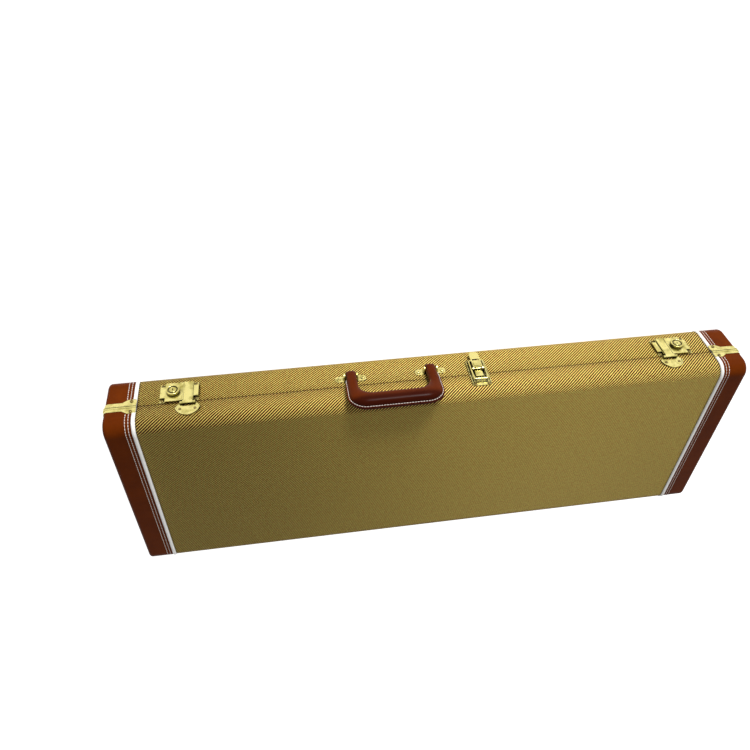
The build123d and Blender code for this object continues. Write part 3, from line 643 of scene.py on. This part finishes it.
@dataclass(frozen=True)
class Metal(Clouded):
    """Pressed or turned metal: bright, with faint stains, fine scratches in its polish, and
    painted shade in its recesses and gaps.
    """

    tones: Tones = ("#DACF86", "#9C9044")
    clouds: Noise = Noise(11.111, 4.0, span=(0.45, 0.75))
    fixed: Fixed = (("Metallic", 1.0),)
    polish: Noise = Noise(0.5, 1.0, values=(0.12, 0.28))
    # Painted shade, standing in for shadow and dark reflections, in recesses and gaps between
    # parts
    painted_crevice_shade: PaintedCreviceShade = PaintedCreviceShade("#140C04", 6.0, (0.42, 0.78))


@dataclass(frozen=True)
class Plush(Clouded):
    """Short-pile plush: deep crimson, lighter where the pile catches the light from the side."""

    tones: Tones = ("#4A0A12", "#7A1420")
    clouds: Noise = Noise(62.5, 4.0, 0.65, (0.35, 0.65))
    fixed: Fixed = (("Roughness", 0.9), ("Sheen Weight", 0.35), ("Sheen Roughness", 0.4))
    grain: Noise = Noise(0.7)
    relief: Relief = Relief(0.5, 0.7)


@dataclass(frozen=True)
class Plywood(Clouded):
    """Birch plywood: pale, with a long, darker grain."""

    tones: Tones = ("#B08A58", "#D9B98A")
    clouds: Noise = Noise(4.167, 6.0, stretch=15.0)
    fixed: Fixed = (("Roughness", 0.7),)


@dataclass(frozen=True)
class WaxedThread(Clouded):
    """Twisted white sewing thread, dull, with darker patches of painted shade for the creases of
    its twist.
    """

    # The first tone is painted shade for the twist's creases
    tones: Tones = ("#C9BDB2", "#EFE9E2")
    clouds: Noise = Noise(0.6667)
    fixed: Fixed = (("Roughness", 0.7),)


@dataclass(frozen=True)
class MattPaint(Finish):
    """White paint on the studio's floor: dull, and plain white to the eye."""

    shade: str = "#E6E6E6"
    lift: float = 0.9

    def surface(self, tree: NodeTree) -> Inputs:
        """Lights the floor up for the rays that look at it.

        Args:
            tree: The material's nodes.

        Returns:
            The values and sockets for the shader's inputs.
        """
        lift = add_node(tree, "Math", {0: looked_at(tree), 1: self.lift}, operation="MULTIPLY")
        return {
            "Base Color": linear(self.shade), "Roughness": 0.9, "Emission Color": WHITE,
            "Emission Strength": lift,
        }


@dataclass(frozen=True)
class Palette:
    """Every finish of the case; each material is built when the palette is."""

    tweed: Material = field(default_factory=TwillTweed("lacquered_twill_tweed").make)
    leather: Material = field(default_factory=GrainLeather("pressed_grain_leather").make)
    grip: Material = field(default_factory=HandleLeather("handle_leather_painted_shade").make)
    vinyl: Material = field(default_factory=SoftVinyl("extruded_vinyl").make)
    brass: Material = field(default_factory=Metal("pressed_brass").make)
    # Brass with deeper painted shade in the gaps of latches, hasps and locks, standing in for
    # dark reflections
    latch: Material = field(
        default_factory=Metal("brass_deep_painted_shade", painted_crevice_shade=PaintedCreviceShade("#140C04", 9.0, (0.5, 0.88))).make
    )
    # Brass darkened all over: a painted dark reflection for the domed heads of screws and rivets
    screw: Material = field(
        default_factory=Metal(
            "brass_painted_dark_reflection", ("#8C7A48", "#4E4022"), polish=Noise(0.5, 1.0, values=(0.204, 0.476))
        ).make
    )
    steel: Material = field(
        default_factory=Metal(
            "drawn_steel", ("#C4C4C6", "#8E8E92"), polish=Noise(0.5, 1.0, values=(0.18, 0.42))
        ).make
    )
    plush: Material = field(default_factory=Plush("short_pile_plush").make)
    plywood: Material = field(default_factory=Plywood("birch_plywood").make)
    thread: Material = field(default_factory=WaxedThread("waxed_thread").make)


# The case's section


@dataclass(frozen=True)
class Section:
    """The rounded rectangle that runs along the case, in millimetres."""

    half_width: float = 175.0
    depth: float = 106.0
    radius: float = 20.0

    @property
    def flat_y(self) -> float:
        """The flat length of a panel."""
        return 2 * (self.half_width - self.radius)

    @property
    def flat_z(self) -> float:
        """The flat length of a side."""
        return self.depth - 2 * self.radius

    @property
    def length(self) -> float:
        """The length of the whole section."""
        return 2 * (self.flat_y + self.flat_z + math.pi * self.radius)

    def around(self, y: float, z: float) -> float:
        """How far along the section a point lies, from the handle side's lower corner upwards.

        Args:
            y: Across the case.
            z: Height.

        Returns:
            The distance in millimetres; it is negative on the back panel.
        """
        half = self.flat_y / 2
        near_y = max(-half, min(half, y))
        near_z = max(self.radius, min(self.depth - self.radius, z))
        turn = math.atan2(z - near_z, near_y - y)
        if z < self.radius and turn <= 0:
            return self.radius * turn - (near_y + half)
        if y < 0:
            return self.radius * turn + near_z - self.radius + near_y + half
        turn = turn % (2 * math.pi)
        return self.radius * turn + 2 * half + 2 * self.flat_z - (near_z - self.radius)

    def walk(self, along: float, level: float = 0.0) -> Point:
        """A point on the section and the way it faces.

        Args:
            along: Distance from the handle side's lower corner, at level 0.
            level: How far outside the section the point lies.

        Returns:
            Y, Z and the angle that its outward normal makes with -Y, turning up over the lid.
        """
        bend = self.radius * math.pi / 2
        side, top = self.flat_y / 2, self.depth - self.radius
        corners = (
            (-side, self.radius, -math.pi / 2),
            (-side, top, 0.0),
            (side, top, math.pi / 2),
            (side, self.radius, math.pi),
        )
        flats = (self.flat_z, self.flat_y, self.flat_z, self.flat_y)
        rest = (along + bend) % self.length
        for (y, z, start), flat in zip(corners, flats):
            if rest <= bend + flat:
                turn = start + min(rest, bend) / self.radius
                reach, run = self.radius + level, max(0.0, rest - bend)
                return (
                    y - reach * math.cos(turn) + run * math.sin(turn),
                    z + reach * math.sin(turn) + run * math.cos(turn),
                    turn,
                )
            rest -= bend + flat
        raise ValueError(f"{along} isn't on the section")


# Sub-assemblies


@dataclass(frozen=True)
class TweedCover:
    """The cloth that is glued round each half's shell, between the two pipings."""

    palette: Palette
    section: Section
    reach: float = 457.7
    cloth: float = 1.2
    seam_gap: float = 0.4
    bend_steps: int = 14

    def build(self, half: Half) -> Object:
        """Makes one half's cloth.

        Args:
            half: The half.

        Returns:
            The piece.
        """
        up = 1 if half is Half.LID else -1
        edge = SEAM + up * self.seam_gap / 2
        face = self.section.depth if half is Half.LID else 0.0
        side = self.section.half_width
        bm = bmesh.new()
        places = ((-side, edge), (-side, face), (side, face), (side, edge))
        row = [bm.verts.new(Vector((-self.reach, y, z)) * MM) for y, z in places]
        strips = [bm.edges.new(pair) for pair in zip(row, row[1:])]
        swept = bmesh.ops.extrude_edge_only(bm, edges=strips)["geom"]
        moved = [item for item in swept if isinstance(item, BMVert)]
        bmesh.ops.translate(bm, verts=moved, vec=Vector((2 * self.reach * MM, 0, 0)))
        bends = [
            e for e in bm.edges
            if len(e.link_faces) == 2 and math.isclose(e.verts[0].co.z, face * MM, abs_tol=1e-6)
        ]
        round_edges(bm, bends, self.section.radius, self.bend_steps)
        bmesh.ops.recalc_face_normals(bm, faces=bm.faces)
        panel = max(bm.faces, key=lambda f: f.calc_area())
        if panel.normal.z * up < 0:
            bmesh.ops.reverse_faces(bm, faces=bm.faces)
        self.lay_uv(bm)
        name = half.value
        piece = finish_piece(
            bm, f"{name}_tweed_cloth", self.palette.tweed, name, Slot.TWEED, (f"{name}_tweed",)
        )
        thick = piece.modifiers.new("cloth", "SOLIDIFY")
        thick.thickness = self.cloth * MM
        thick.offset = -1.0
        return piece

    def lay_uv(self, bm: BMesh) -> None:
        """Lays the cloth's UV map, in millimetres along the case and round its section.

        Args:
            bm: The cloth.
        """
        layer = bm.loops.layers.uv.new("cloth")
        for face in bm.faces:
            for loop in face.loops:
                x, y, z = loop.vert.co / MM
                loop[layer].uv = (x, self.section.around(y, z))


@dataclass(frozen=True)
class Stitching:
    """Two rows of thread on each leather end cover, beside the piping."""

    palette: Palette
    section: Section
    rows_from_end: Span = (37.4, 32.6)
    half_length: float = 505.0
    level: float = 0.4
    stitch: float = 4.4
    pitch: float = 4.6
    thread: float = 1.2
    # Room for the trim's ears on both sides of the seam
    ear: float = 15.5

    def places(self, half: Half) -> Iterator[float]:
        """The middles of the stitches round one half, clear of the trim's ears.

        Args:
            half: The half.

        Yields:
            Distances along the section in millimetres.
        """
        near = SEAM - self.section.radius
        far = self.section.around(self.section.half_width, SEAM)
        if half is Half.LID:
            start, stop = near + self.ear, far - self.ear
        else:
            start, stop = far + self.ear, self.section.length + near - self.ear
        count = int((stop - start) / self.pitch)
        spare = (stop - start - count * self.pitch) / 2
        for index in range(count + 1):
            yield start + spare + index * self.pitch

    def build(self, half: Half, end: End) -> Object:
        """Sews both rows of one cover.

        Args:
            half: The half.
            end: The end.

        Returns:
            The piece.
        """
        bm = bmesh.new()
        radii = Vector((self.thread / 2, self.thread / 3, self.stitch / 2)) * MM
        size = Matrix.Diagonal((*radii, 1.0))
        for from_end in self.rows_from_end:
            x = end.value * (self.half_length - from_end)
            for along in self.places(half):
                y, z, turn = self.section.walk(along, self.level)
                place = Matrix.Translation(Vector((x, y, z)) * MM)
                add_stitch(bm, place @ Matrix.Rotation(-turn, 4, "X") @ size)
        name = f"{half.value}_{end.name.lower()}_stitching"
        return finish_piece(bm, name, self.palette.thread, half.value, Slot.LEATHER)


@dataclass(frozen=True)
class Arch:
    """A line up one leg of the handle, round its corner, along the grip and down again."""

    half: float
    top: float
    corner: float

    def lengths(self) -> tuple[float, ...]:
        """Measures the line's parts.

        Returns:
            The lengths of the leg, bend, grip, bend and leg.
        """
        leg = self.top - self.corner
        bend = self.corner * math.pi / 2
        return leg, bend, 2 * (self.half - self.corner), bend, leg

    def walk(self, run: float) -> Point:
        """A point on the line and its heading.

        Args:
            run: Distance from the level of the pins on the +X leg.

        Returns:
            Along the grip, away from the pins, and the heading in radians.
        """
        leg, bend, flat, _, _ = self.lengths()
        side, height = self.half - self.corner, self.top - self.corner
        if run < leg:
            return self.half, run, math.pi / 2
        if run < leg + bend:
            turn = (run - leg) / self.corner
            return (
                side + self.corner * math.cos(turn),
                height + self.corner * math.sin(turn),
                math.pi / 2 + turn,
            )
        if run < leg + bend + flat:
            return side - (run - leg - bend), self.top, math.pi
        x, y, heading = self.walk(max(0.0, 2 * (leg + bend) + flat - run))
        return -x, y, 3 * math.pi - heading

    def at(self, place: float) -> Vector:
        """Finds a point by the part of the line that it is on.

        Args:
            place: From 0 to 5, counting leg, bend, grip, bend and leg.

        Returns:
            The point in the handle's own plane.
        """
        lengths = self.lengths()
        part = min(int(place), len(lengths) - 1)
        x, y, _ = self.walk(sum(lengths[:part]) + (place - part) * lengths[part])
        return Vector((x, y, 0.0))


@dataclass(frozen=True)
class CarryHandle:
    """The stitched leather handle: a padded arch with a sewn flange round its outside."""

    palette: Palette
    pivot: Point = (73.0, -183.0, 50.0)
    lean: float = 3.6
    inner: Arch = Arch(54.5, 49.0, 22.0)
    outer: Arch = Arch(70.6, 74.6, 25.2)
    flange: Arch = Arch(74.0, 79.0, 28.6)
    seam: Arch = Arch(71.6, 75.7, 26.2)
    # Sections along the leg, bend, grip, bend and leg, and round each end's half circle
    part_steps: tuple[int, ...] = (6, 9, 10, 9, 6)
    end_degrees: tuple[float, ...] = (82.0, 64.0, 44.0, 22.0)
    middle: float = 2.5
    full_from: float = 0.9
    leg_thickness: float = 15.0
    grip_thickness: float = 22.0
    sides: int = 24
    squareness: float = 0.78
    flange_thickness: float = 3.0
    flange_start: float = 0.2
    flange_root: float = 0.35
    flange_taper: float = 0.3
    flange_sides: int = 12
    flange_squareness: float = 0.45
    crease: float = 55.0
    thread: float = 1.1
    thread_lift: float = 0.25
    stitch: float = 4.0
    pitch: float = 4.2

    def place(self) -> Matrix:
        """Sets the handle's own plane, in millimetres, into the case.

        Returns:
            The matrix from that plane to metres in the case.
        """
        turn = Matrix.Rotation(math.radians(90.0 + self.lean), 4, "X")
        return Matrix.Translation(Vector(self.pivot) * MM) @ turn @ Matrix.Scale(MM, 4)

    def thickness(self, place: float) -> float:
        """Pads the arch: thin legs and a full grip.

        Args:
            place: From 0 to 5 along the arch.

        Returns:
            The thickness in millimetres.
        """
        share = max(0.0, min(1.0, self.middle - abs(place - self.middle) - self.full_from))
        full = share * share * (3 - 2 * share)
        return self.leg_thickness + (self.grip_thickness - self.leg_thickness) * full

    def ring(
        self, bm: BMesh, ends: tuple[Vector, Vector], thick: float, sides: int, square: float,
        cap: bool = False,
    ) -> list[BMEdge]:
        """Adds one closed section between an inner and an outer point.

        Args:
            bm: The shape.
            ends: The inner and the outer point, in the handle's plane.
            thick: Its thickness.
            sides: Its number of corners.
            square: 1 for an ellipse, less for a squarer section.
            cap: Whether a face closes it.

        Returns:
            Its edges.
        """
        ring = bmesh.ops.create_circle(bm, cap_ends=cap, segments=sides, radius=1.0)["verts"]
        middle, reach = (ends[0] + ends[1]) / 2, (ends[1] - ends[0]) / 2
        for vert in ring:
            across, up = (math.copysign(abs(v) ** square, v) for v in vert.co.xy)
            vert.co = middle + reach * across + Vector((0.0, 0.0, up * thick / 2))
        return list({edge for vert in ring for edge in vert.link_edges})

    def loft(self, bm: BMesh, rings: list[list[BMEdge]]) -> None:
        """Joins each section to the next."""
        for near, far in zip(rings, rings[1:]):
            bmesh.ops.bridge_loops(bm, edges=near + far)

    def stations(self) -> list[float]:
        """Chooses where the sections stand, close together round the bends.

        Returns:
            Places from 0 to 5 along the arch.
        """
        parts = enumerate(self.part_steps)
        found = [part + step / count for part, count in parts for step in range(count)]
        return [*found, float(len(self.part_steps))]

    def end_rings(self, bm: BMesh, side: int) -> Iterator[list[BMEdge]]:
        """Adds the sections that round off one leg about its pin, from its tip inwards.

        Args:
            bm: The shape.
            side: 1 for the leg at +X and -1 for the other.

        Yields:
            Each section's edges.
        """
        turns = [math.radians(angle) for angle in self.end_degrees]
        for turn in turns if side > 0 else reversed(turns):
            down = -self.leg_thickness / 2 * math.sin(turn)
            points = tuple(
                Vector((side * arch.half, down, 0)) for arch in (self.inner, self.outer)
            )
            thick = self.leg_thickness * math.cos(turn)
            yield self.ring(bm, points, thick, self.sides, self.squareness, turn == turns[0])

    def padding(self, bm: BMesh) -> None:
        """Lofts the stuffed leather body, with rounded ends about the pins.

        Args:
            bm: The shape that it is added to.
        """
        rings = list(self.end_rings(bm, 1))
        for place in self.stations():
            points = (self.inner.at(place), self.outer.at(place))
            thick = self.thickness(place)
            rings.append(self.ring(bm, points, thick, self.sides, self.squareness))
        rings += self.end_rings(bm, -1)
        self.loft(bm, rings)

    def sewn_edge(self, bm: BMesh) -> None:
        """Lofts the flat flange outside the stitches, which runs out at both legs.

        Args:
            bm: The shape that it is added to.
        """
        rings = []
        stop = len(self.part_steps) - self.flange_start
        stations = [place for place in self.stations() if self.flange_start < place < stop]
        for place in stations:
            near, far, edge = (arch.at(place) for arch in (self.inner, self.outer, self.flange))
            tip = place in (stations[0], stations[-1])
            if tip:
                edge = far.lerp(edge, self.flange_taper)
            points = (far.lerp(near, self.flange_root), edge)
            shape = (self.flange_thickness, self.flange_sides, self.flange_squareness)
            rings.append(self.ring(bm, points, *shape, tip))
        self.loft(bm, rings)

    def build(self) -> Object:
        """Makes the leather of the handle.

        Returns:
            The piece.
        """
        bm = bmesh.new()
        self.padding(bm)
        self.sewn_edge(bm)
        bmesh.ops.recalc_face_normals(bm, faces=bm.faces)
        bmesh.ops.transform(bm, matrix=self.place(), verts=bm.verts)
        return finish_piece(
            bm, "handle_leather", self.palette.grip, "handle", Slot.LEATHER, ("handle_grip",),
            self.crease,
        )

    def sew(self) -> Object:
        """Makes the stitches on both faces of the flange.

        Returns:
            The piece.
        """
        bm = bmesh.new()
        lengths = self.seam.lengths()
        start = self.flange_start * lengths[0] + self.stitch
        count = int((sum(lengths) - 2 * start) / self.pitch)
        size = Matrix.Diagonal((self.stitch / 2, self.thread / 2, self.thread / 2, 1.0))
        level = self.flange_thickness / 2 + self.thread_lift
        for face in (-1, 1):
            for index in range(count + 1):
                x, y, heading = self.seam.walk(start + index * self.pitch)
                spot = Matrix.Translation((x, y, face * level))
                add_stitch(bm, spot @ Matrix.Rotation(heading, 4, "Z") @ size)
        bmesh.ops.transform(bm, matrix=self.place(), verts=bm.verts)
        return finish_piece(bm, "handle_stitching", self.palette.thread, "handle", Slot.LEATHER)


@dataclass(frozen=True)
class FoamPad:
    """One foam pad under tight plush, crowned where nothing presses on it."""

    palette: Palette
    node: str
    half: Half
    voxel: float = 5.0
    slack: float = 2.6
    swell: float = 3.2
    pressure: float = 4.0
    frames: int = 20
    fill: float = 0.9

    def build(self) -> Object:
        """Copies the solid, shrinks it, blows it up as cloth and smooths it.

        Returns:
            The piece.
        """
        pad = finish_piece(
            copy_solid(self.node), f"{self.node}_foam", self.palette.plush, self.half.value,
            Slot.PLUSH, (self.node,),
        )
        even = pad.modifiers.new("even", "REMESH")
        self.apply(pad, even, mode="VOXEL", voxel_size=self.voxel * MM)
        start = [vert.co - vert.normal * self.slack * MM for vert in pad.data.vertices]
        for vert, place in zip(pad.data.vertices, start):
            vert.co = place
        self.blow_up(pad)
        for vert, place in zip(pad.data.vertices, start):
            moved = vert.co - place
            if moved.length > self.swell * MM:
                vert.co = place + moved.normalized() * self.swell * MM
        smooth = pad.modifiers.new("smooth", "SUBSURF")
        self.apply(pad, smooth, levels=1, render_levels=1)
        pad.data.shade_smooth()
        return pad

    def blow_up(self, pad: Object) -> None:
        """Runs the cloth with air inside it and keeps the result.

        Args:
            pad: The shrunk pad.
        """
        cloth = pad.modifiers.new("plush_cover", "CLOTH")
        settings = cloth.settings
        settings.use_pressure = True
        settings.uniform_pressure_force = self.pressure
        settings.effector_weights.gravity = 0.0
        scene = bpy.context.scene
        for number in range(1, self.frames + 1):
            scene.frame_set(number)
        self.apply(pad, cloth)
        scene.frame_set(1)

    def apply(self, pad: Object, modifier: Modifier, **settings: Any) -> None:
        """Sets a modifier and bakes it into the pad's mesh.

        Args:
            pad: The pad.
            modifier: The modifier, which is removed.
            **settings: Its settings.
        """
        for name, value in settings.items():
            setattr(modifier, name, value)
        shape = pad.evaluated_get(bpy.context.evaluated_depsgraph_get())
        mesh = bpy.data.meshes.new_from_object(shape)
        pad.modifiers.remove(modifier)
        pad.data = mesh


@dataclass(frozen=True)
class PlushBoard:
    """A thin plywood board or box under glued plush: the solid with its edges softened."""

    palette: Palette
    node: str
    half: Half
    softness: float = 1.2
    steps: int = 3
    flat_degrees: float = 1.0
    edge_degrees: float = 60.0

    def build(self) -> Object:
        """Copies the solid and rounds its edges.

        Returns:
            The piece.
        """
        bm = copy_solid(self.node)
        bmesh.ops.dissolve_limit(
            bm, angle_limit=math.radians(self.flat_degrees), verts=bm.verts, edges=bm.edges,
            use_dissolve_boundaries=False,
        )
        least = math.radians(self.edge_degrees)
        edges = [e for e in bm.edges if e.calc_face_angle(0.0) > least]
        round_edges(bm, edges, self.softness, self.steps, clamp=True)
        return finish_piece(
            bm, f"{self.node}_cover", self.palette.plush, self.half.value, Slot.PLUSH,
            (self.node,),
        )


@dataclass(frozen=True)
class Lining:
    """The foam-backed plush that is glued inside one half's shell."""

    palette: Palette
    half: Half
    floor: float
    rim: float
    half_length: float = 498.3
    half_width: float = 168.7
    fold: float = 13.7
    fold_steps: int = 8
    corner: float = 4.0
    corner_steps: int = 3
    corner_degrees: float = 69.0
    thick: float = 2.9

    def build(self) -> Object:
        """Makes an open tray, rounds its folds and gives it its thickness inwards.

        Returns:
            The piece.
        """
        bm = bmesh.new()
        bmesh.ops.create_cube(bm, size=2.0)
        middle, tall = (self.floor + self.rim) / 2, abs(self.rim - self.floor) / 2
        size = Vector((self.half_length, self.half_width, tall)) * MM
        bmesh.ops.scale(bm, verts=bm.verts, vec=size)
        bmesh.ops.translate(bm, verts=bm.verts, vec=Vector((0, 0, middle * MM)))
        up = 1 if self.rim > self.floor else -1
        mouth = [f for f in bm.faces if f.normal.z * up > 0.5]
        bmesh.ops.delete(bm, geom=mouth, context="FACES_ONLY")
        folds = (e for e in bm.edges if len(e.link_faces) == 2)
        runs = [e for e in folds if abs((e.verts[0].co - e.verts[1].co).x) > MM]
        round_edges(bm, runs, self.fold, self.fold_steps)
        least = math.radians(self.corner_degrees)
        corners = [e for e in bm.edges if e.calc_face_angle(0.0) > least]
        round_edges(bm, corners, self.corner, self.corner_steps)
        bmesh.ops.reverse_faces(bm, faces=bm.faces)
        name = self.half.value
        piece = finish_piece(
            bm, f"{name}_plush_lining", self.palette.plush, name, Slot.PLUSH,
            (f"{name}_lining",),
        )
        backing = piece.modifiers.new("foam_backing", "SOLIDIFY")
        backing.thickness = self.thick * MM
        backing.offset = 1.0
        return piece


@dataclass(frozen=True)
class Inside:
    """Everything that the open case shows, by the half that carries it."""

    palette: Palette
    # The height of each lining's floor and rim
    linings: tuple[tuple[Half, float, float], ...] = (
        (Half.BASE, 6.3, 45.0),
        (Half.LID, 99.7, 72.8),
    )
    pads: tuple[tuple[str, Half], ...] = (
        ("body_surround", Half.BASE),
        ("neck_side_block", Half.BASE),
        ("neck_cradle", Half.BASE),
        ("lid_pad", Half.LID),
    )
    boards: tuple[tuple[str, Half], ...] = (
        ("accessory_box", Half.BASE),
        ("rim_lip", Half.BASE),
    )

    def build(self) -> Iterator[Object]:
        """Makes the linings, pads and boards, one by one.

        Yields:
            Each piece.
        """
        for half, floor, rim in self.linings:
            yield Lining(self.palette, half, floor, rim).build()
        for node, half in self.pads:
            yield FoamPad(self.palette, node, half).build()
        for node, half in self.boards:
            yield PlushBoard(self.palette, node, half).build()


@dataclass(frozen=True)
class ReturnSpring:
    """The coil behind one lock's bolt, which closes up when the knob slides; here it is copied
    as it stands.
    """

    palette: Palette
    end: End
    travel: float = 5.0

    def build(self) -> Object:
        """Copies the coil and gives it a mesh of its own.

        Returns:
            The piece.
        """
        side = self.end.name.lower()
        node = f"{side}_lock_spring"
        coil = finish_piece(
            copy_solid(node, merge=0.001), f"{side}_lock_coil", self.palette.steel, "base",
            Slot.STEEL, (node,),
        )
        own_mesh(coil)
        return coil


@dataclass(frozen=True)
class Hardware:
    """The finishes of the solids whose shapes are shown as they are."""

    palette: Palette

    def dress(self) -> None:
        """Gives each solid the finish of the first word in its name; the rest are brass."""
        palette = self.palette
        kinds = {
            "shell": palette.plywood, "end_cover": palette.leather, "piping": palette.vinyl,
            "bracket_screws": palette.brass, "screws": palette.screw,
            "rivets": palette.screw, "spring": palette.steel, "handle_core": palette.steel,
            "grip": palette.grip,
        }
        kinds |= dict.fromkeys(("draw_", "hasp", "lock_button", "key_plug"), palette.latch)
        plush = ("lining", "rim_lip", "surround", "block", "cradle", "accessory_box", "lid_pad")
        kinds |= dict.fromkeys(plush, palette.plush)
        for name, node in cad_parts.items():
            finish = next((m for word, m in kinds.items() if word in name), palette.brass)
            node.data.materials.clear()
            node.data.materials.append(finish)


# The studio


@dataclass(frozen=True)
class Softbox:
    """One square studio lamp, aimed at the case."""

    name: str
    place: Point
    size: float
    watts: float

    def hang(self) -> None:
        """Adds the lamp."""
        data = bpy.data.lights.new(self.name, "AREA")
        data.energy = self.watts
        data.size = self.size
        lamp = add_object(self.name, data)
        lamp.location = self.place
        lamp.rotation_euler = (-Vector(self.place)).to_track_quat("-Z", "Y").to_euler()


@dataclass(frozen=True)
class Studio:
    """The pale floor, the soft lamps and the camera, in metres."""

    camera_place: Point = (0.22451, -0.92194, 0.81422)
    camera_aim: Point = (0.08867, -0.12619, -0.00482)
    camera_up: Point = (-0.09227, -0.72178, -0.68595)
    lens: float = 33.1
    sensor: float = 36.0
    floor_size: float = 14.0
    surround_light: float = 0.24
    lamps: tuple[Softbox, ...] = (
        Softbox("key_softbox", (-1.3, -6.0, 0.9), 1.9, 440.0),
        Softbox("fill_softbox", (-0.8, 1.9, 3.0), 3.0, 14.5),
    )

    def build(self) -> None:
        """Lays the floor, hangs the lamps and sets the camera."""
        self.lay_floor()
        self.light_world()
        for lamp in self.lamps:
            lamp.hang()
        self.set_camera()

    def lay_floor(self) -> None:
        """A white floor at the case's lowest point; it looks white and keeps the shadow."""
        bm = bmesh.new()
        bmesh.ops.create_grid(bm, x_segments=1, y_segments=1, size=self.floor_size / 2)
        low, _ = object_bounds()
        bmesh.ops.translate(bm, verts=bm.verts, vec=Vector((0, 0, low.z)))
        paint = MattPaint("matt_white_paint").make()
        add_object("studio_floor", to_mesh(bm, "studio_floor", paint))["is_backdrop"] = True

    def light_world(self) -> None:
        """A soft grey surround for the light, seen as plain white."""
        world = bpy.data.worlds.new("studio_surround")
        world.use_nodes = True
        tree = world.node_tree
        inputs = {"Value": looked_at(tree), "To Min": self.surround_light, "To Max": 1.0}
        level = add_node(tree, "MapRange", inputs)
        feed(tree, tree.nodes["Background"], {"Color": WHITE, "Strength": level})
        bpy.context.scene.world = world

    def set_camera(self) -> None:
        """Sets the camera at the photograph's angle."""
        data = bpy.data.cameras.new("photograph_camera")
        data.lens = self.lens
        data.sensor_width = self.sensor
        camera = add_object("photograph_camera", data)
        back = (Vector(self.camera_place) - Vector(self.camera_aim)).normalized()
        right = Vector(self.camera_up).cross(back).normalized()
        turn = Matrix((right, back.cross(right), back)).transposed()
        camera.matrix_world = Matrix.Translation(self.camera_place) @ turn.to_4x4()
        bpy.context.scene.camera = camera


def main() -> None:
    """Builds and dresses the whole case, then the studio."""
    logging.basicConfig(level=logging.INFO, format="%(message)s")
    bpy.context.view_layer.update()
    bpy.context.scene.view_settings.view_transform = "Standard"
    palette = Palette()
    section = Section()
    Hardware(palette).dress()
    cover = TweedCover(palette, section)
    stitching = Stitching(palette, section)
    for half in Half:
        log.info("cloth %s", cover.build(half).name)
        for end in End:
            log.info("thread %s", stitching.build(half, end).name)
    handle = CarryHandle(palette)
    log.info("handle %s, %s", handle.build().name, handle.sew().name)
    for end in End:
        log.info("spring %s", ReturnSpring(palette, end).build().name)
    for piece in Inside(palette).build():
        log.info("inside %s", piece.name)
    Studio().build()


if __name__ == "__main__":
    main()
